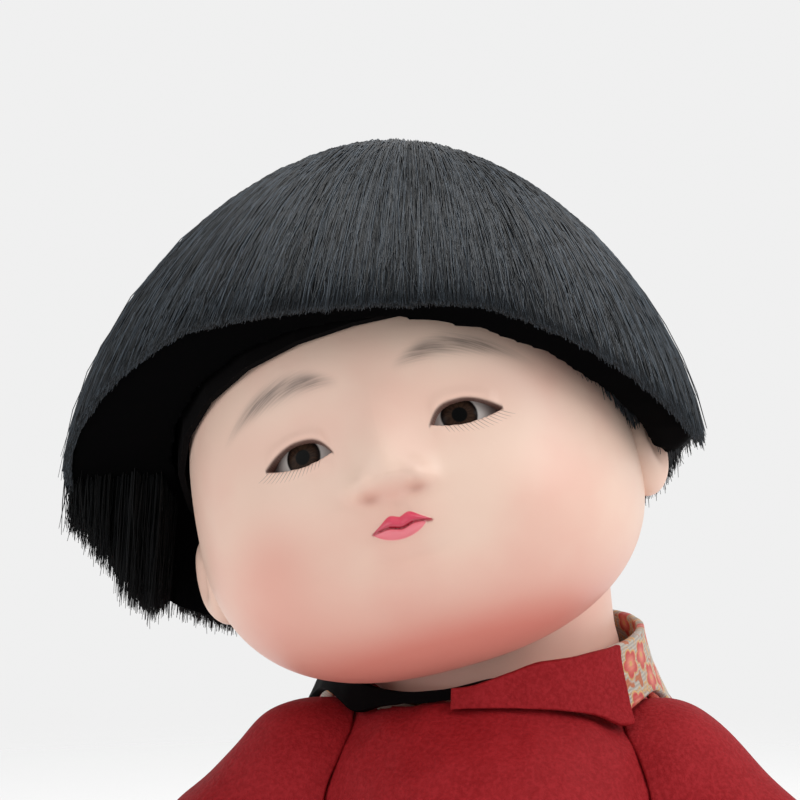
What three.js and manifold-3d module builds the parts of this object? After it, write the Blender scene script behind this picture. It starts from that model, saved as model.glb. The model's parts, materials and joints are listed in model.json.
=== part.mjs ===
// Crawling baby doll: a shell-white composition head with glass eyes and a planted wig, on a hollow
// composition torso with jointed arms and legs, dressed in a red crepe robe with a tied sash.
// Millimetres, +Z up. The doll faces -Y and its own left side is +X. It stands on its palms and knees.
import * as THREE from "three";
import { mergeVertices } from "three/addons/utils/BufferGeometryUtils.js";
import Module from "manifold-3d";

const wasm = await Module();
wasm.setup();

const degree = Math.PI / 180;
const far = 400; // longer than the doll, for cuts that go right through

// Clearances
const seatGap = 0.4; // between hard pieces that seat on each other
const clothGap = 0.6; // between layers of clothing
const turnGap = 1; // between a limb and what it swings past

// Torso, lofted along a bent spine from chest to rump
const chestReach = 72; // forward from the middle of the torso
const chestHeight = 70;
const bendReach = 6; // back from the middle to where the spine turns down
const bendHeight = 84;
const rumpReach = 84; // back from the middle
const rumpHeight = 45;
const chestHalfWidth = 32;
const hipHalfWidth = 35;
const torsoHalfHeight = 22;
const bellySwell = 6;
const torsoWall = 5;
const axleRadius = 2;
const shoulderInset = 2; // of an arm's inner face from the side of the chest
const hipInset = 17; // of a thigh's inner face from the side of the hips
const axleGrip = 12; // how far an axle runs into a limb
const neckShare = 0.306; // places along the spine, from 0 at the chest to 1 at the rump
const shoulderShare = 0.232;
const waistShare = 0.592;
const hipShare = 0.82;
const hipDrop = 7; // of the hip axle below the spine

// Neck
const neckSink = 2.5; // of the neck's seat below the top of the torso
const neckLean = 12 * degree;
const neckRadius = 24;
const neckSwell = 1.5;
const neckLength = 34;
const dowelRadius = 7;
const dowelDepth = 20;
const socketDepth = 14;
const socketWall = 5;

// Head, measured from the middle of the eye line, with the face towards -Y
const headHalfWidth = 42.2;
const cheekLevel = -7;
const chinDrop = 39.3;
const chinReach = 8; // how far the lowest point lies ahead of the head's middle
const crownRise = 55;
const faceDepth = 41;
const faceLevel = 2;
const napeDepth = 46;
const napeLevel = 12;
const headWall = 4.5;
const headSeam = 12; // how far behind the head's middle the two halves meet
const headAside = 14.3; // of the head's middle from the neck's seat, towards the doll's right
const headForward = 14.4;
const headRise = 40.8;
const headTurn = -7 * degree;
const headSwing = 12 * degree; // either way about the neck
const headLift = 14.5 * degree;
const headLean = 16 * degree;

// Face
const noseLevel = -8.3;
const noseHeight = 5;
const mouthLevel = -17.4;
const mouthHalfWidth = 5.6;
const chinLevel = -27;
const eyeSpread = 15.4; // from the middle of the face to the middle of each eye
const eyeWidth = 13.6;
const upperLid = 3.2;
const lowerLid = 1.4;
const lidThickness = 1;
const eyeRadius = 8.6;
const eyeGlass = 1.6;
const earHeight = 18;
const earLength = 11;
const earLevel = -8;
const earStick = 3.4;

// Wig
const capThickness = 1.2;
const capGap = 1.1;
const hairlineRise = 20.5; // at the middle of the forehead
const hairlineSlope = 0.38; // how fast the planted edge falls towards the nape
const sideHair = 19; // thickness of the hair beyond the head
const sideFlare = 3.8; // how much wider the hair is at its cut ends
const hairShift = 5.4; // of the whole mass towards the side that the head leans to
const topHair = 9;
const frontHair = 20;
const backHair = 15;
const hairBrim = -1.5; // level of the widest ring
const fringeLevel = 31.5;
const fringeStep = 6.5; // how much higher the outer strands are cut than the inner ones
const templeLevel = 4.5;
const templeReach = 16; // how far ahead of the head's middle the edge turns down
const fringeLap = 3; // how far the fringe's inner edge lies behind the brow
const earBare = 6; // bare skin left over the middle of an ear
const bobDrop = 20; // from the eye line to the cut ends at the middle of the head
const bobLean = 13 * degree;
const bobCorner = 17; // how far up the sides the lower corners are clipped
const fringeRow = 14; // how far ahead of the head's middle the fringe row starts
const backRow = 20; // how far behind it the back row starts

// Arms
const armSpread = 29; // from the shoulder out to the wrist
const armReach = 23; // from the shoulder forward to the wrist
const wristHeight = 21;
const armRadius = 11.5;
const wristRadius = 9;
const wireRadius = 1.4;
const palmLength = 26;
const palmWidth = 23;
const palmThickness = 12;
const fingerLength = 13;
const fingerRadius = 3.1;

// Legs
const kneeSpread = 12; // from the hip out to the knee
const kneeReach = 10; // from the hip forward to the knee
const thighRadius = 15.5;
const shinLength = 58;
const shinRadius = 13;
const ankleRadius = 9;
const footLength = 32;
const footWidth = 17;
const toeRadius = 3.4;

// Robe
const robeEase = 3.5; // air between the torso and the robe
const clothThickness = 2;
const sashWidth = 20;
const sashThickness = 2.4;
const armSwing = 20 * degree; // either way about the shoulder
const sleeveLap = 6.5; // how far a sleeve's root reaches in past the side of the chest
const sleeveEase = 4.5; // air between the arm and the sleeve
const cuffWidth = 22;
const cuffDepth = 17;
const cuffHeight = 28;
const skirtEase = 9; // air between the thighs and the skirt
const skirtLength = 70;
const skirtDrop = 22; // how far the skirt's back lies below its front
const hemLevel = 18;
const hemSlope = 0.32;
const hemHeight = 5;
const hemPadding = 1.2;
const skirtFolds = 9;
const foldDepth = 1.6;

// Collar bands, round the neck axis
const collarEase = 3;
const collarHeight = 9;
const collarFlare = 6;
const collarThickness = 1.6;
const collarDrop = 6; // how far the bands reach down under the neck's seat
const frontSeam = 13; // degrees round the neck from its front, towards the doll's left
const backSeam = 237;
const seamHalf = 1;
const redCollarFrom = -12;
const redCollarTo = 51;
const blackRise = 1.5; // of a band's top edge over the others'
const redRise = 5;
const brocadeRise = 4;
const brocadeDip = 10; // from its highest place to its lowest
const brocadePeak = 40 * degree;
const lapelWidth = 13;
const lapelThickness = 1.4;

// Bow
const bowSpan = 22;
const bowDroop = 14 * degree;
const bowHeight = 7;
const ribbonThickness = 1.6;
const bowWidth = 13;
const knotSize = 9;

const finishes = {
  shellWhite: new THREE.MeshStandardMaterial({ color: 0xe6c8b4, roughness: 0.5 }),
  glass: new THREE.MeshStandardMaterial({ color: 0x2a1a12, roughness: 0.08 }),
  putty: new THREE.MeshStandardMaterial({ color: 0xcfc4ae, roughness: 0.9 }),
  wood: new THREE.MeshStandardMaterial({ color: 0xc8a878, roughness: 0.7 }),
  wire: new THREE.MeshStandardMaterial({ color: 0x8a8a88, roughness: 0.4, metalness: 1 }),
  hair: new THREE.MeshStandardMaterial({ color: 0x14171a, roughness: 0.55 }),
  capCloth: new THREE.MeshStandardMaterial({ color: 0x0c0c0d, roughness: 0.9 }),
  cotton: new THREE.MeshStandardMaterial({ color: 0xe4d6c2, roughness: 0.9 }),
  redCrepe: new THREE.MeshStandardMaterial({ color: 0xa81c26, roughness: 0.75 }),
  blackSatin: new THREE.MeshStandardMaterial({ color: 0x141113, roughness: 0.45 }),
  brocade: new THREE.MeshStandardMaterial({ color: 0xc98a62, roughness: 0.55 }),
};

// Geometry helpers

const point = (x, y, z) => new THREE.Vector3(x, y, z);
const count = (n) => Array.from({ length: n }, (_, i) => i);
const bell = (t) => Math.exp((-t * t) / 2);
const mix = (a, b, t) => a + (b - a) * t;

// A closed geometry as a solid, with its seams merged and its faces pointing out.
function solidOf(geometry) {
  const bare = new THREE.BufferGeometry().setAttribute("position", geometry.getAttribute("position"));
  bare.setIndex(geometry.index);
  const merged = mergeVertices(bare, 1e-4);
  const at = merged.getAttribute("position").array;
  const corners = [];
  let volume = 0;
  for (let i = 0; i < merged.index.count; i += 3) {
    const [a, b, c] = [0, 1, 2].map((k) => merged.index.getX(i + k));
    if (a === b || b === c || c === a) continue;
    const [p, q, r] = [a, b, c].map((k) => point().fromArray(at, 3 * k));
    volume += p.dot(q.cross(r));
    corners.push([a, b, c]);
  }
  const outward = corners.map(([a, b, c]) => (volume < 0 ? [a, c, b] : [a, b, c]));
  const mesh = { numProp: 3, vertProperties: new Float32Array(at), triVerts: new Uint32Array(outward.flat()) };
  return new wasm.Manifold(new wasm.Mesh(mesh));
}

function geometryOf(solid) {
  const mesh = solid.getMesh();
  return new THREE.BufferGeometry()
    .setAttribute("position", new THREE.BufferAttribute(mesh.vertProperties, 3))
    .setIndex(new THREE.BufferAttribute(mesh.triVerts, 1));
}

function placed(solid, matrix) {
  return solidOf(geometryOf(solid).applyMatrix4(matrix));
}

const mirrored = (solid) => placed(solid, new THREE.Matrix4().makeScale(-1, 1, 1));
const joined = (solids) => solids.reduce((a, b) => a.add(b));
const without = (solid, ...cuts) => cuts.reduce((a, b) => a.subtract(b), solid);

// A skin over rings of equal count, closed at both ends by a fan to a pole.
function loft(rings, firstPole, lastPole) {
  const sides = rings[0].length;
  const middle = (ring) => ring.reduce((sum, p) => sum.add(p), point(0, 0, 0)).divideScalar(sides);
  const last = (rings.length - 1) * sides;
  const points = [...rings.flat(), firstPole ?? middle(rings[0]), lastPole ?? middle(rings.at(-1))];
  const faces = [];
  for (const side of count(sides)) {
    const next = (side + 1) % sides;
    faces.push(points.length - 2, next, side, points.length - 1, last + side, last + next);
    for (const ring of count(rings.length - 1)) {
      const [a, b] = [ring * sides + side, ring * sides + next];
      faces.push(a, b, b + sides, a, b + sides, a + sides);
    }
  }
  return solidOf(new THREE.BufferGeometry().setFromPoints(points).setIndex(faces));
}

// Oval rings square to a curve. Each ring's first axis stays as near to "across" as it can.
function sweep(curve, sizeAt, sides, steps, across, from = 0) {
  const rings = count(steps + 1).map((i) => {
    const share = i / steps;
    const along = mix(from, 1, share);
    const middle = curve.getPoint(along);
    const tangent = curve.getTangent(along);
    const first = across.clone().addScaledVector(tangent, -across.dot(tangent)).normalize();
    const second = tangent.clone().cross(first);
    const [a, b] = sizeAt(share);
    return count(sides).map((k) => {
      const turn = (2 * Math.PI * k) / sides;
      return middle
        .clone()
        .addScaledVector(first, a * Math.cos(turn))
        .addScaledVector(second, b * Math.sin(turn));
    });
  });
  return loft(rings);
}

// Everything below a plane through a point, as a block as large as "far".
function halfSpace(through, normal) {
  const turn = new THREE.Quaternion().setFromUnitVectors(point(0, 0, 1), normal.clone().normalize());
  const block = new THREE.BoxGeometry(far, far, far).translate(0, 0, -far / 2);
  return solidOf(block.applyQuaternion(turn).translate(through.x, through.y, through.z));
}

const ahead = (y) => halfSpace(point(0, y, 0), point(0, 1, 0)); // all that is in front of y
const behind = (y) => halfSpace(point(0, y, 0), point(0, -1, 0)); // all that is behind y

function rod(start, end, radius, sides) {
  const line = end.clone().sub(start);
  const turn = new THREE.Quaternion().setFromUnitVectors(point(0, 1, 0), line.clone().normalize());
  const middle = start.clone().add(end).multiplyScalar(0.5);
  const geometry = new THREE.CylinderGeometry(radius, radius, line.length(), sides).applyQuaternion(turn);
  return solidOf(geometry.translate(middle.x, middle.y, middle.z));
}

// A body of revolution about +Z from [radius, height] pairs.
function turned(profile, sides) {
  const points = profile.map(([radius, height]) => new THREE.Vector2(radius, height));
  return solidOf(new THREE.LatheGeometry(points, sides).rotateX(Math.PI / 2));
}

function ellipsoid(middle, halfSizes, columns, rows) {
  const ball = new THREE.SphereGeometry(1, columns, rows);
  return solidOf(ball.scale(halfSizes.x, halfSizes.y, halfSizes.z).translate(middle.x, middle.y, middle.z));
}

// A tapering round-ended rod, for fingers.
function finger(start, end, startRadius, endRadius) {
  const curve = new THREE.LineCurve3(start, end);
  const round = (t) => Math.sqrt(Math.max(0.12, 1 - Math.pow(2 * t - 1, 6)));
  const size = (t) => Array(2).fill(mix(startRadius, endRadius, t) * round(t));
  return sweep(curve, size, 6, 3, point(0, 0, 1));
}

// Torso

const chestEnd = point(0, -chestReach, chestHeight);
const backBend = point(0, bendReach, bendHeight);
const rumpEnd = point(0, rumpReach, rumpHeight);

const spine = (t) => {
  const [a, b, c] = [(1 - t) * (1 - t), 2 * t * (1 - t), t * t];
  return chestEnd.clone().multiplyScalar(a).addScaledVector(backBend, b).addScaledVector(rumpEnd, c);
};
const halfHeightAt = (t) => torsoHalfHeight + bellySwell * Math.sin(Math.PI * t);

// The torso grown outwards, or inwards when "grow" is negative.
function torsoSolid(grow, sides, levels) {
  const stretch = grow / chestEnd.distanceTo(rumpEnd);
  const rings = count(levels - 1).map((i) => {
    const t = (1 - Math.cos((Math.PI * (i + 1)) / levels)) / 2;
    const along = mix(-stretch, 1 + stretch, t);
    const tangent = spine(along + 0.01).sub(spine(along - 0.01)).normalize();
    const upward = point(0, -tangent.z, tangent.y);
    const close = Math.pow(1 - Math.pow(Math.abs(2 * t - 1), 3.2), 0.45);
    const width = (mix(chestHalfWidth, hipHalfWidth, t) + grow) * close;
    const height = (halfHeightAt(t) + grow) * close;
    return count(sides).map((k) => {
      const turn = (2 * Math.PI * k) / sides;
      const out = point(width * Math.cos(turn), 0, 0).addScaledVector(upward, height * Math.sin(turn));
      return out.add(spine(along));
    });
  });
  return loft(rings, spine(-stretch), spine(1 + stretch));
}

// A layer of clothing that follows the torso.
function torsoLayer(lift, thickness) {
  return torsoSolid(lift + thickness, 20, 12).subtract(torsoSolid(lift, 20, 12));
}

const neckPlace = spine(neckShare).add(point(0, 0, halfHeightAt(neckShare) - neckSink));
const neckMatrix = new THREE.Matrix4().makeRotationX(neckLean).setPosition(neckPlace);
const socketRadius = neckRadius - socketWall;

// Inner ends of the limbs, on their axles. The limbs are modelled on the doll's left.
const shoulder = spine(shoulderShare).add(point(chestHalfWidth - shoulderInset, 0, 0));
const hip = spine(hipShare).add(point(hipHalfWidth - hipInset, 0, -hipDrop));

function axle(joint, gap) {
  const end = joint.clone().add(point(axleGrip + gap, 0, 0));
  return rod(point(-end.x, end.y, end.z), end, axleRadius + gap, 12);
}

// Clears everything outside a limb's inner face, within a radius of its axle.
function limbSeat(joint, side, radius, from) {
  return rod(point(side * from, joint.y, joint.z), point(side * far, joint.y, joint.z), radius, 24);
}

function torsoHalves() {
  const socketHole = rod(point(0, 0, -socketDepth - seatGap), point(0, 0, far), socketRadius + seatGap, 24);
  const neckHole = placed(joined([socketHole, neckSolid(seatGap), dowelSolid(seatGap)]), neckMatrix);
  const seats = [1, -1].flatMap((side) => [
    limbSeat(shoulder, side, armRadius + turnGap, shoulder.x - seatGap),
    limbSeat(hip, side, thighRadius + 5 * turnGap, hip.x - seatGap),
  ]);
  const cups = [1, -1].flatMap((side) => [
    limbSeat(shoulder, side, armRadius + turnGap + torsoWall, shoulder.x - seatGap - torsoWall),
    limbSeat(hip, side, thighRadius + 5 * turnGap + torsoWall, hip.x - seatGap - torsoWall),
  ]);
  const core = torsoSolid(0, 20, 12);
  const hollow = without(torsoSolid(-torsoWall, 12, 8), ...cups);
  const bosses = [shoulder, hip].map((joint) =>
    rod(point(-joint.x, joint.y, joint.z), joint, axleRadius + torsoWall, 12),
  );
  const solid = joined([core.subtract(hollow), ...bosses]).intersect(core);
  const shell = without(solid, ...seats, axle(shoulder, seatGap), axle(hip, seatGap), neckHole);
  const along = hip.clone().sub(shoulder);
  const upward = point(0, -along.z, along.y).normalize();
  const parting = (offset, facing) =>
    halfSpace(shoulder.clone().addScaledVector(upward, offset), upward.clone().multiplyScalar(facing));
  return {
    back: shell.subtract(parting(seatGap / 2, 1)),
    belly: shell.subtract(parting(-seatGap / 2, -1)),
  };
}

// Neck and the cup that holds it, round the neck axis

function neckSolid(gap) {
  const ball = socketRadius - socketWall + gap;
  const profile = [
    [0, -7 - gap],
    [ball * 0.7, -5.5 - gap],
    [ball, -1 - gap],
    [neckRadius + gap, 2 - gap],
    [neckRadius + neckSwell + gap, 6],
    [neckRadius + gap, 12],
    [neckRadius - 1 + gap, neckLength + gap],
    [0, neckLength + gap],
  ];
  return turned(profile, 24);
}

const dowelSolid = (gap) =>
  rod(point(0, 0, -dowelDepth - gap), point(0, 0, neckLength + dowelRadius), dowelRadius + gap, 16);

// Turned wooden cup, glued in the torso, that the neck turns in.
function neckSocket() {
  const cup = rod(point(0, 0, -socketDepth), point(0, 0, 1), socketRadius, 24);
  return without(cup, neckSolid(seatGap), dowelSolid(seatGap));
}

// Head

// Half extent of a closed outline at a height: full at its level, nothing at its ends.
function outline(z, level, low, high, full, lowRound, highRound) {
  const reach = z < level ? (level - z) / (level - low) : (z - level) / (high - level);
  const roundness = z < level ? lowRound : highRound;
  return full * Math.pow(Math.max(0, 1 - Math.pow(reach, roundness)), 1 / roundness);
}

const jowlRound = 2.3;
const muzzleRound = 2.2;
const skullRound = 2.1;
const napeRound = 1.5;
const planRound = 2.2;

function headExtents(z, inset) {
  const [low, high] = [-chinDrop + inset, crownRise - inset];
  return {
    width: outline(z, cheekLevel, low, high, headHalfWidth - inset, jowlRound, skullRound),
    front: outline(z, faceLevel, low, high, faceDepth - inset, muzzleRound, skullRound),
    back: outline(z, napeLevel, low, high, napeDepth - inset, napeRound, skullRound),
    forward: z < 0 ? chinReach * Math.pow(z / chinDrop, 2) : 0,
  };
}

// How far the moulded features stand forward of the plain egg.
function relief(x, z) {
  const side = Math.abs(x);
  const nose = noseHeight * bell(x / 4) * bell((z - noseLevel) / 3.6);
  const nostrils = 2 * bell((side - 4) / 2.4) * bell((z - noseLevel + 2.5) / 2.2);
  const bridge = 1.4 * bell(x / 4) * bell((z - noseLevel - 8) / 6);
  const lips = 1.8 * bell(x / mouthHalfWidth) * bell((z - mouthLevel) / 2.4);
  const chin = 1.8 * bell(x / 9) * bell((z - chinLevel) / 4);
  const sockets = -1.6 * bell((side - eyeSpread) / 8) * bell((z - 1) / 5);
  const cheeks = 2 * bell((side - 25) / 10) * bell((z - mouthLevel) / 10);
  return nose + nostrils + bridge + lips + chin + sockets + cheeks;
}

function headPoint(angle, z, inset) {
  const { width, front, back, forward } = headExtents(z, inset);
  const [side, fore] = [Math.sin(angle), Math.cos(angle)];
  const depth = fore > 0 ? front : back;
  const sum = Math.pow(Math.abs(side) / width, planRound) + Math.pow(Math.abs(fore) / depth, planRound);
  const radius = Math.pow(sum, -1 / planRound);
  return point(radius * side, -radius * fore - forward, z);
}

// An egg-shaped head solid. Rings crowd towards the face when the features are moulded.
function headSolid(inset, sides, levels, moulded) {
  const crowd = moulded ? 0.42 : 0;
  const [low, high] = [-chinDrop + inset, crownRise - inset];
  const rings = count(levels - 1).map((i) => {
    const z = mix(low, high, (1 - Math.cos((Math.PI * (i + 1)) / levels)) / 2);
    return count(sides).map((k) => {
      const turn = (2 * Math.PI * k) / sides - Math.PI;
      const angle = turn - crowd * Math.sin(turn);
      const at = headPoint(angle, z, inset);
      if (moulded) at.y -= relief(at.x, z) * Math.max(0, Math.cos(angle));
      return at;
    });
  });
  return loft(rings, point(0, -headExtents(low, inset).forward, low), point(0, 0, high));
}

// The frame of one eye: its origin on the face surface, -Y out of the face.
function eyeFrame(side) {
  const depthAt = (x) => {
    const { width, front } = headExtents(0, 0);
    const plain = front * Math.pow(1 - Math.pow(x / width, planRound), 1 / planRound);
    return -plain - relief(x, 0);
  };
  const step = 0.5;
  const slope = (depthAt(eyeSpread + step) - depthAt(eyeSpread - step)) / (2 * step);
  const frame = new THREE.Matrix4().makeRotationZ(side * Math.atan(slope));
  return frame.setPosition(side * eyeSpread, depthAt(eyeSpread), 0);
}

const eyeCentre = lidThickness + eyeRadius; // behind the face surface

function eyeOpening() {
  const half = eyeWidth / 2;
  const almond = new THREE.Shape();
  almond.moveTo(-half, 0);
  almond.quadraticCurveTo(0, 2 * upperLid, half, 0);
  almond.quadraticCurveTo(0, -2 * lowerLid, -half, 0);
  const cut = new THREE.ExtrudeGeometry(almond, { depth: 2 * eyeRadius, curveSegments: 7, bevelEnabled: false });
  return solidOf(cut.rotateX(Math.PI / 2).translate(0, eyeRadius, 0));
}

// Pocket moulded into the back of the face for one glass eye.
function eyePocket() {
  return ellipsoid(point(0, eyeCentre, 0), point(1, 1, 1).multiplyScalar(eyeRadius + seatGap), 16, 10);
}

// A blown glass eye: a dome open at the back.
function glassEye() {
  const rim = 100 * degree;
  const dome = (radius, from, to) =>
    count(7).map((i) => {
      const turn = mix(from, to, i / 6);
      return [Math.max(0, radius * Math.sin(turn)), radius * Math.cos(turn)];
    });
  const profile = [...dome(eyeRadius, 0, rim), ...dome(eyeRadius - eyeGlass, rim, 0)];
  const forward = new THREE.Matrix4().makeRotationX(Math.PI / 2).setPosition(0, eyeCentre, 0);
  return placed(turned(profile, 16), forward);
}

// Putty pressed into the dome, which beds the eye from inside the head.
function eyeBed() {
  const reach = eyeRadius - eyeGlass - seatGap;
  const ball = ellipsoid(point(0, eyeCentre, 0), point(reach, reach, reach), 12, 8);
  const pad = rod(point(0, eyeCentre, 0), point(0, eyeCentre + reach + 1, 0), reach * 0.8, 12);
  return ball.add(pad);
}

function ear(side, grow) {
  const half = point(earStick + 2 + grow, earLength / 2 + grow, earHeight / 2 + grow);
  const { width } = headExtents(earLevel, 0);
  const lobe = new THREE.SphereGeometry(1, 8, 7).scale(half.x, half.y, half.z);
  lobe.rotateZ(side * -18 * degree).rotateX(8 * degree);
  return solidOf(lobe.translate(side * (width - 2), earLength / 4, earLevel));
}

// The hollow of an ear, open outwards and forwards.
function earBowl(side) {
  const { width } = headExtents(earLevel, 0);
  const bowl = new THREE.SphereGeometry(1, 8, 6).scale(earStick * 0.6, earLength * 0.27, earHeight * 0.3);
  return solidOf(bowl.translate(side * (width + earStick * 0.8), -earLength * 0.05, earLevel + 1));
}

const headPlace = neckPlace.clone().add(point(-headAside, -headForward, headRise));
const headAngles = new THREE.Euler(-headLift, -headLean, headTurn, "ZXY");
const headMatrix = new THREE.Matrix4().makeRotationFromEuler(headAngles).setPosition(headPlace);
const neckToHead = headMatrix.clone().invert().multiply(neckMatrix);

function headHalves() {
  const eyes = [1, -1].flatMap((side) =>
    [eyePocket(), eyeOpening()].map((cut) => placed(cut, eyeFrame(side))),
  );
  const outer = joined([headSolid(0, 30, 24, true), ear(1, 0), ear(-1, 0)]);
  const neck = placed(neckSolid(seatGap).add(dowelSolid(seatGap)), neckToHead);
  const shell = without(outer, headSolid(headWall, 16, 10, false), neck, ...eyes, earBowl(1), earBowl(-1));
  return {
    face: shell.subtract(behind(headSeam - seatGap / 2)),
    back: shell.subtract(ahead(headSeam + seatGap / 2)),
  };
}

// Wig

function wigCap() {
  const skin = headSolid(-capGap - capThickness, 24, 14, false).subtract(headSolid(-capGap, 24, 14, false));
  const edge = halfSpace(point(0, -faceDepth, hairlineRise), point(0, hairlineSlope, 1));
  const neck = placed(neckSolid(turnGap), neckToHead);
  return without(skin, edge, neck, ear(1, seatGap), ear(-1, seatGap));
}

const hairMatrix = new THREE.Matrix4().makeRotationZ(headTurn).setPosition(headPlace);
const headToHair = hairMatrix.clone().invert().multiply(headMatrix);

// The whole mass of hair, in a frame that is upright but turned with the head.
function hairMass() {
  const halfWidth = headHalfWidth + sideHair;
  const [front, back] = [faceDepth + frontHair, napeDepth + backHair];
  const low = -bobDrop - halfWidth / 2;
  const high = crownRise + topHair;
  const domeRound = 1.78;
  const levels = 11;
  const skirts = 2;
  const follow = (z) => Math.max(0, z) * Math.sin(headLift) * 0.6; // the crown goes back as the face lifts
  const rings = count(levels).map((i) => {
    const dome = (i - skirts) / (levels - skirts);
    const z = i < skirts ? mix(low, hairBrim, i / skirts) : mix(hairBrim, high, Math.sin((Math.PI / 2) * dome));
    const reach = Math.max(0, (z - hairBrim) / (high - hairBrim));
    const size = Math.pow(1 - Math.pow(reach, domeRound), 1 / domeRound);
    const width = (halfWidth + sideFlare * Math.max(0, (hairBrim - z) / (hairBrim - low))) * size;
    return count(26).map((k) => {
      const angle = (2 * Math.PI * k) / 26;
      const depth = Math.cos(angle) > 0 ? front : back;
      return point(width * Math.sin(angle) - hairShift, follow(z) - depth * size * Math.cos(angle), z);
    });
  });
  return loft(rings, undefined, point(-hairShift, follow(high), high));
}

// The opening that leaves the face and ears bare, as a side profile cut right across.
function faceOpening() {
  const earBack = earLength * 0.6;
  const profile = new THREE.Shape();
  profile.moveTo(far, fringeLevel + fringeStep);
  profile.lineTo(faceDepth + frontHair, fringeLevel + fringeStep);
  profile.lineTo(faceDepth - fringeLap, fringeLevel);
  profile.quadraticCurveTo(templeReach, templeLevel, -earBack, earLevel + earBare);
  profile.lineTo(-earBack, -far);
  profile.lineTo(far, -far);
  const cut = new THREE.ExtrudeGeometry(profile, { depth: far, curveSegments: 6, bevelEnabled: false });
  return solidOf(cut.translate(0, 0, -far / 2).rotateX(Math.PI / 2).rotateZ(-Math.PI / 2));
}

function hairRows() {
  const scalp = headSolid(-capGap - capThickness - seatGap, 24, 14, false);
  const neck = placed(neckSolid(seatGap), neckToHead);
  const fitted = [scalp, neck, ear(1, 2 * seatGap), ear(-1, 2 * seatGap)].map((cut) => placed(cut, headToHair));
  const opening = placed(faceOpening(), new THREE.Matrix4().makeRotationY(-headLean / 3));
  const bob = halfSpace(point(0, 0, -bobDrop), point(Math.sin(-bobLean), 0, Math.cos(bobLean)));
  const corners = [1, -1].map((side) => {
    const x = side * (headHalfWidth + sideHair) - hairShift;
    return halfSpace(point(x, 0, x * Math.tan(bobLean) - bobDrop + bobCorner), point(-side, 0, 1));
  });
  const mass = without(hairMass(), ...fitted, opening, bob, ...corners);
  const half = seatGap / 2;
  const beside = (side) => halfSpace(point(side * half, 0, 0), point(side, 0, 0));
  const middle = without(mass, ahead(-fringeRow + half), behind(backRow - half));
  return {
    fringe: mass.subtract(behind(-fringeRow - half)),
    back: mass.subtract(ahead(backRow + half)),
    left: middle.subtract(beside(1)),
    right: middle.subtract(beside(-1)),
  };
}

// Arms

const wrist = point(shoulder.x + armSpread, shoulder.y - armReach, wristHeight);

const armCurve = () => {
  const elbow = point(wrist.x, mix(shoulder.y, wrist.y, 0.35), mix(shoulder.z, wrist.z, 0.45));
  return new THREE.CubicBezierCurve3(shoulder, shoulder.clone().add(point(armSpread * 0.65, 0, 0)), elbow, wrist);
};

function armWire(gap) {
  const curve = armCurve();
  const reach = wireRadius + gap;
  const straight = curve.getTangent(1).multiplyScalar(palmThickness * 0.5 + gap);
  const end = curve.getPoint(1);
  const tip = rod(end.clone().addScaledVector(straight, -0.3), end.clone().add(straight), reach, 6);
  return sweep(curve, () => [reach, reach], 6, 6, point(0, 1, 0), 0.55 - gap / 40).add(tip);
}

// A cotton-stuffed arm that swells between the shoulder and the wrist.
function upperArm() {
  const swell = (t) => mix(armRadius, wristRadius, t) + 1.4 * Math.sin(Math.PI * t);
  const stuffed = sweep(armCurve(), (t) => [swell(t), swell(t)], 12, 8, point(0, 1, 0));
  return without(stuffed, axle(shoulder, seatGap), armWire(seatGap));
}

// A hand laid flat on the floor with its fingers forward.
function hand() {
  const palm = point(wrist.x, wrist.y - palmLength * 0.3, palmThickness * 0.45);
  const half = point(palmWidth / 2, palmLength / 2, palmThickness * 0.55);
  const end = armCurve().getTangent(1);
  const joint = wrist.clone().addScaledVector(end, seatGap);
  const round = ellipsoid(joint, point(1, 1, 1).multiplyScalar(wristRadius), 10, 6);
  const column = rod(joint, point(joint.x, joint.y - 2, palm.z), wristRadius * 0.94, 10);
  const parts = [ellipsoid(palm, half, 12, 7), round, column];
  const pitch = (palmWidth - 2 * fingerRadius) / 3.4;
  for (const k of count(4)) {
    const spread = k - 1.5;
    const length = fingerLength * (1 - 0.12 * Math.abs(spread - 0.4)) + half.y * 0.3;
    const base = point(palm.x + spread * pitch, palm.y - half.y * 0.62, fingerRadius * 1.25);
    const tip = base.clone().add(point(spread * 1.4, -length, -fingerRadius * 0.35));
    parts.push(finger(base, tip, fingerRadius * 1.15, fingerRadius * 0.95));
  }
  const root = point(palm.x - half.x * 0.6, palm.y + half.y * 0.1, fingerRadius * 1.3);
  const thumb = root.clone().add(point(-0.7, -0.7, -0.1).multiplyScalar(fingerLength));
  parts.push(finger(root, thumb, fingerRadius * 1.3, fingerRadius));
  const floor = halfSpace(point(0, 0, 0), point(0, 0, 1));
  return without(joined(parts), halfSpace(joint, end), floor, armWire(seatGap));
}

// Legs

const knee = point(hip.x + kneeSpread, hip.y - kneeReach, 2 * shinRadius);

const legCurve = () => {
  const out = hip.clone().add(point(kneeSpread, 0, 0));
  return new THREE.CubicBezierCurve3(hip, out, knee.clone().add(point(0, 0, shinRadius)), knee);
};

function legWire(gap) {
  const reach = wireRadius + gap;
  const tip = rod(knee.clone().add(point(0, 0, 2)), knee.clone().add(point(0, 0, -shinRadius / 2 - gap)), reach, 6);
  return sweep(legCurve(), () => [reach, reach], 6, 6, point(0, 1, 0), 0.5 - gap / 30).add(tip);
}

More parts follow.
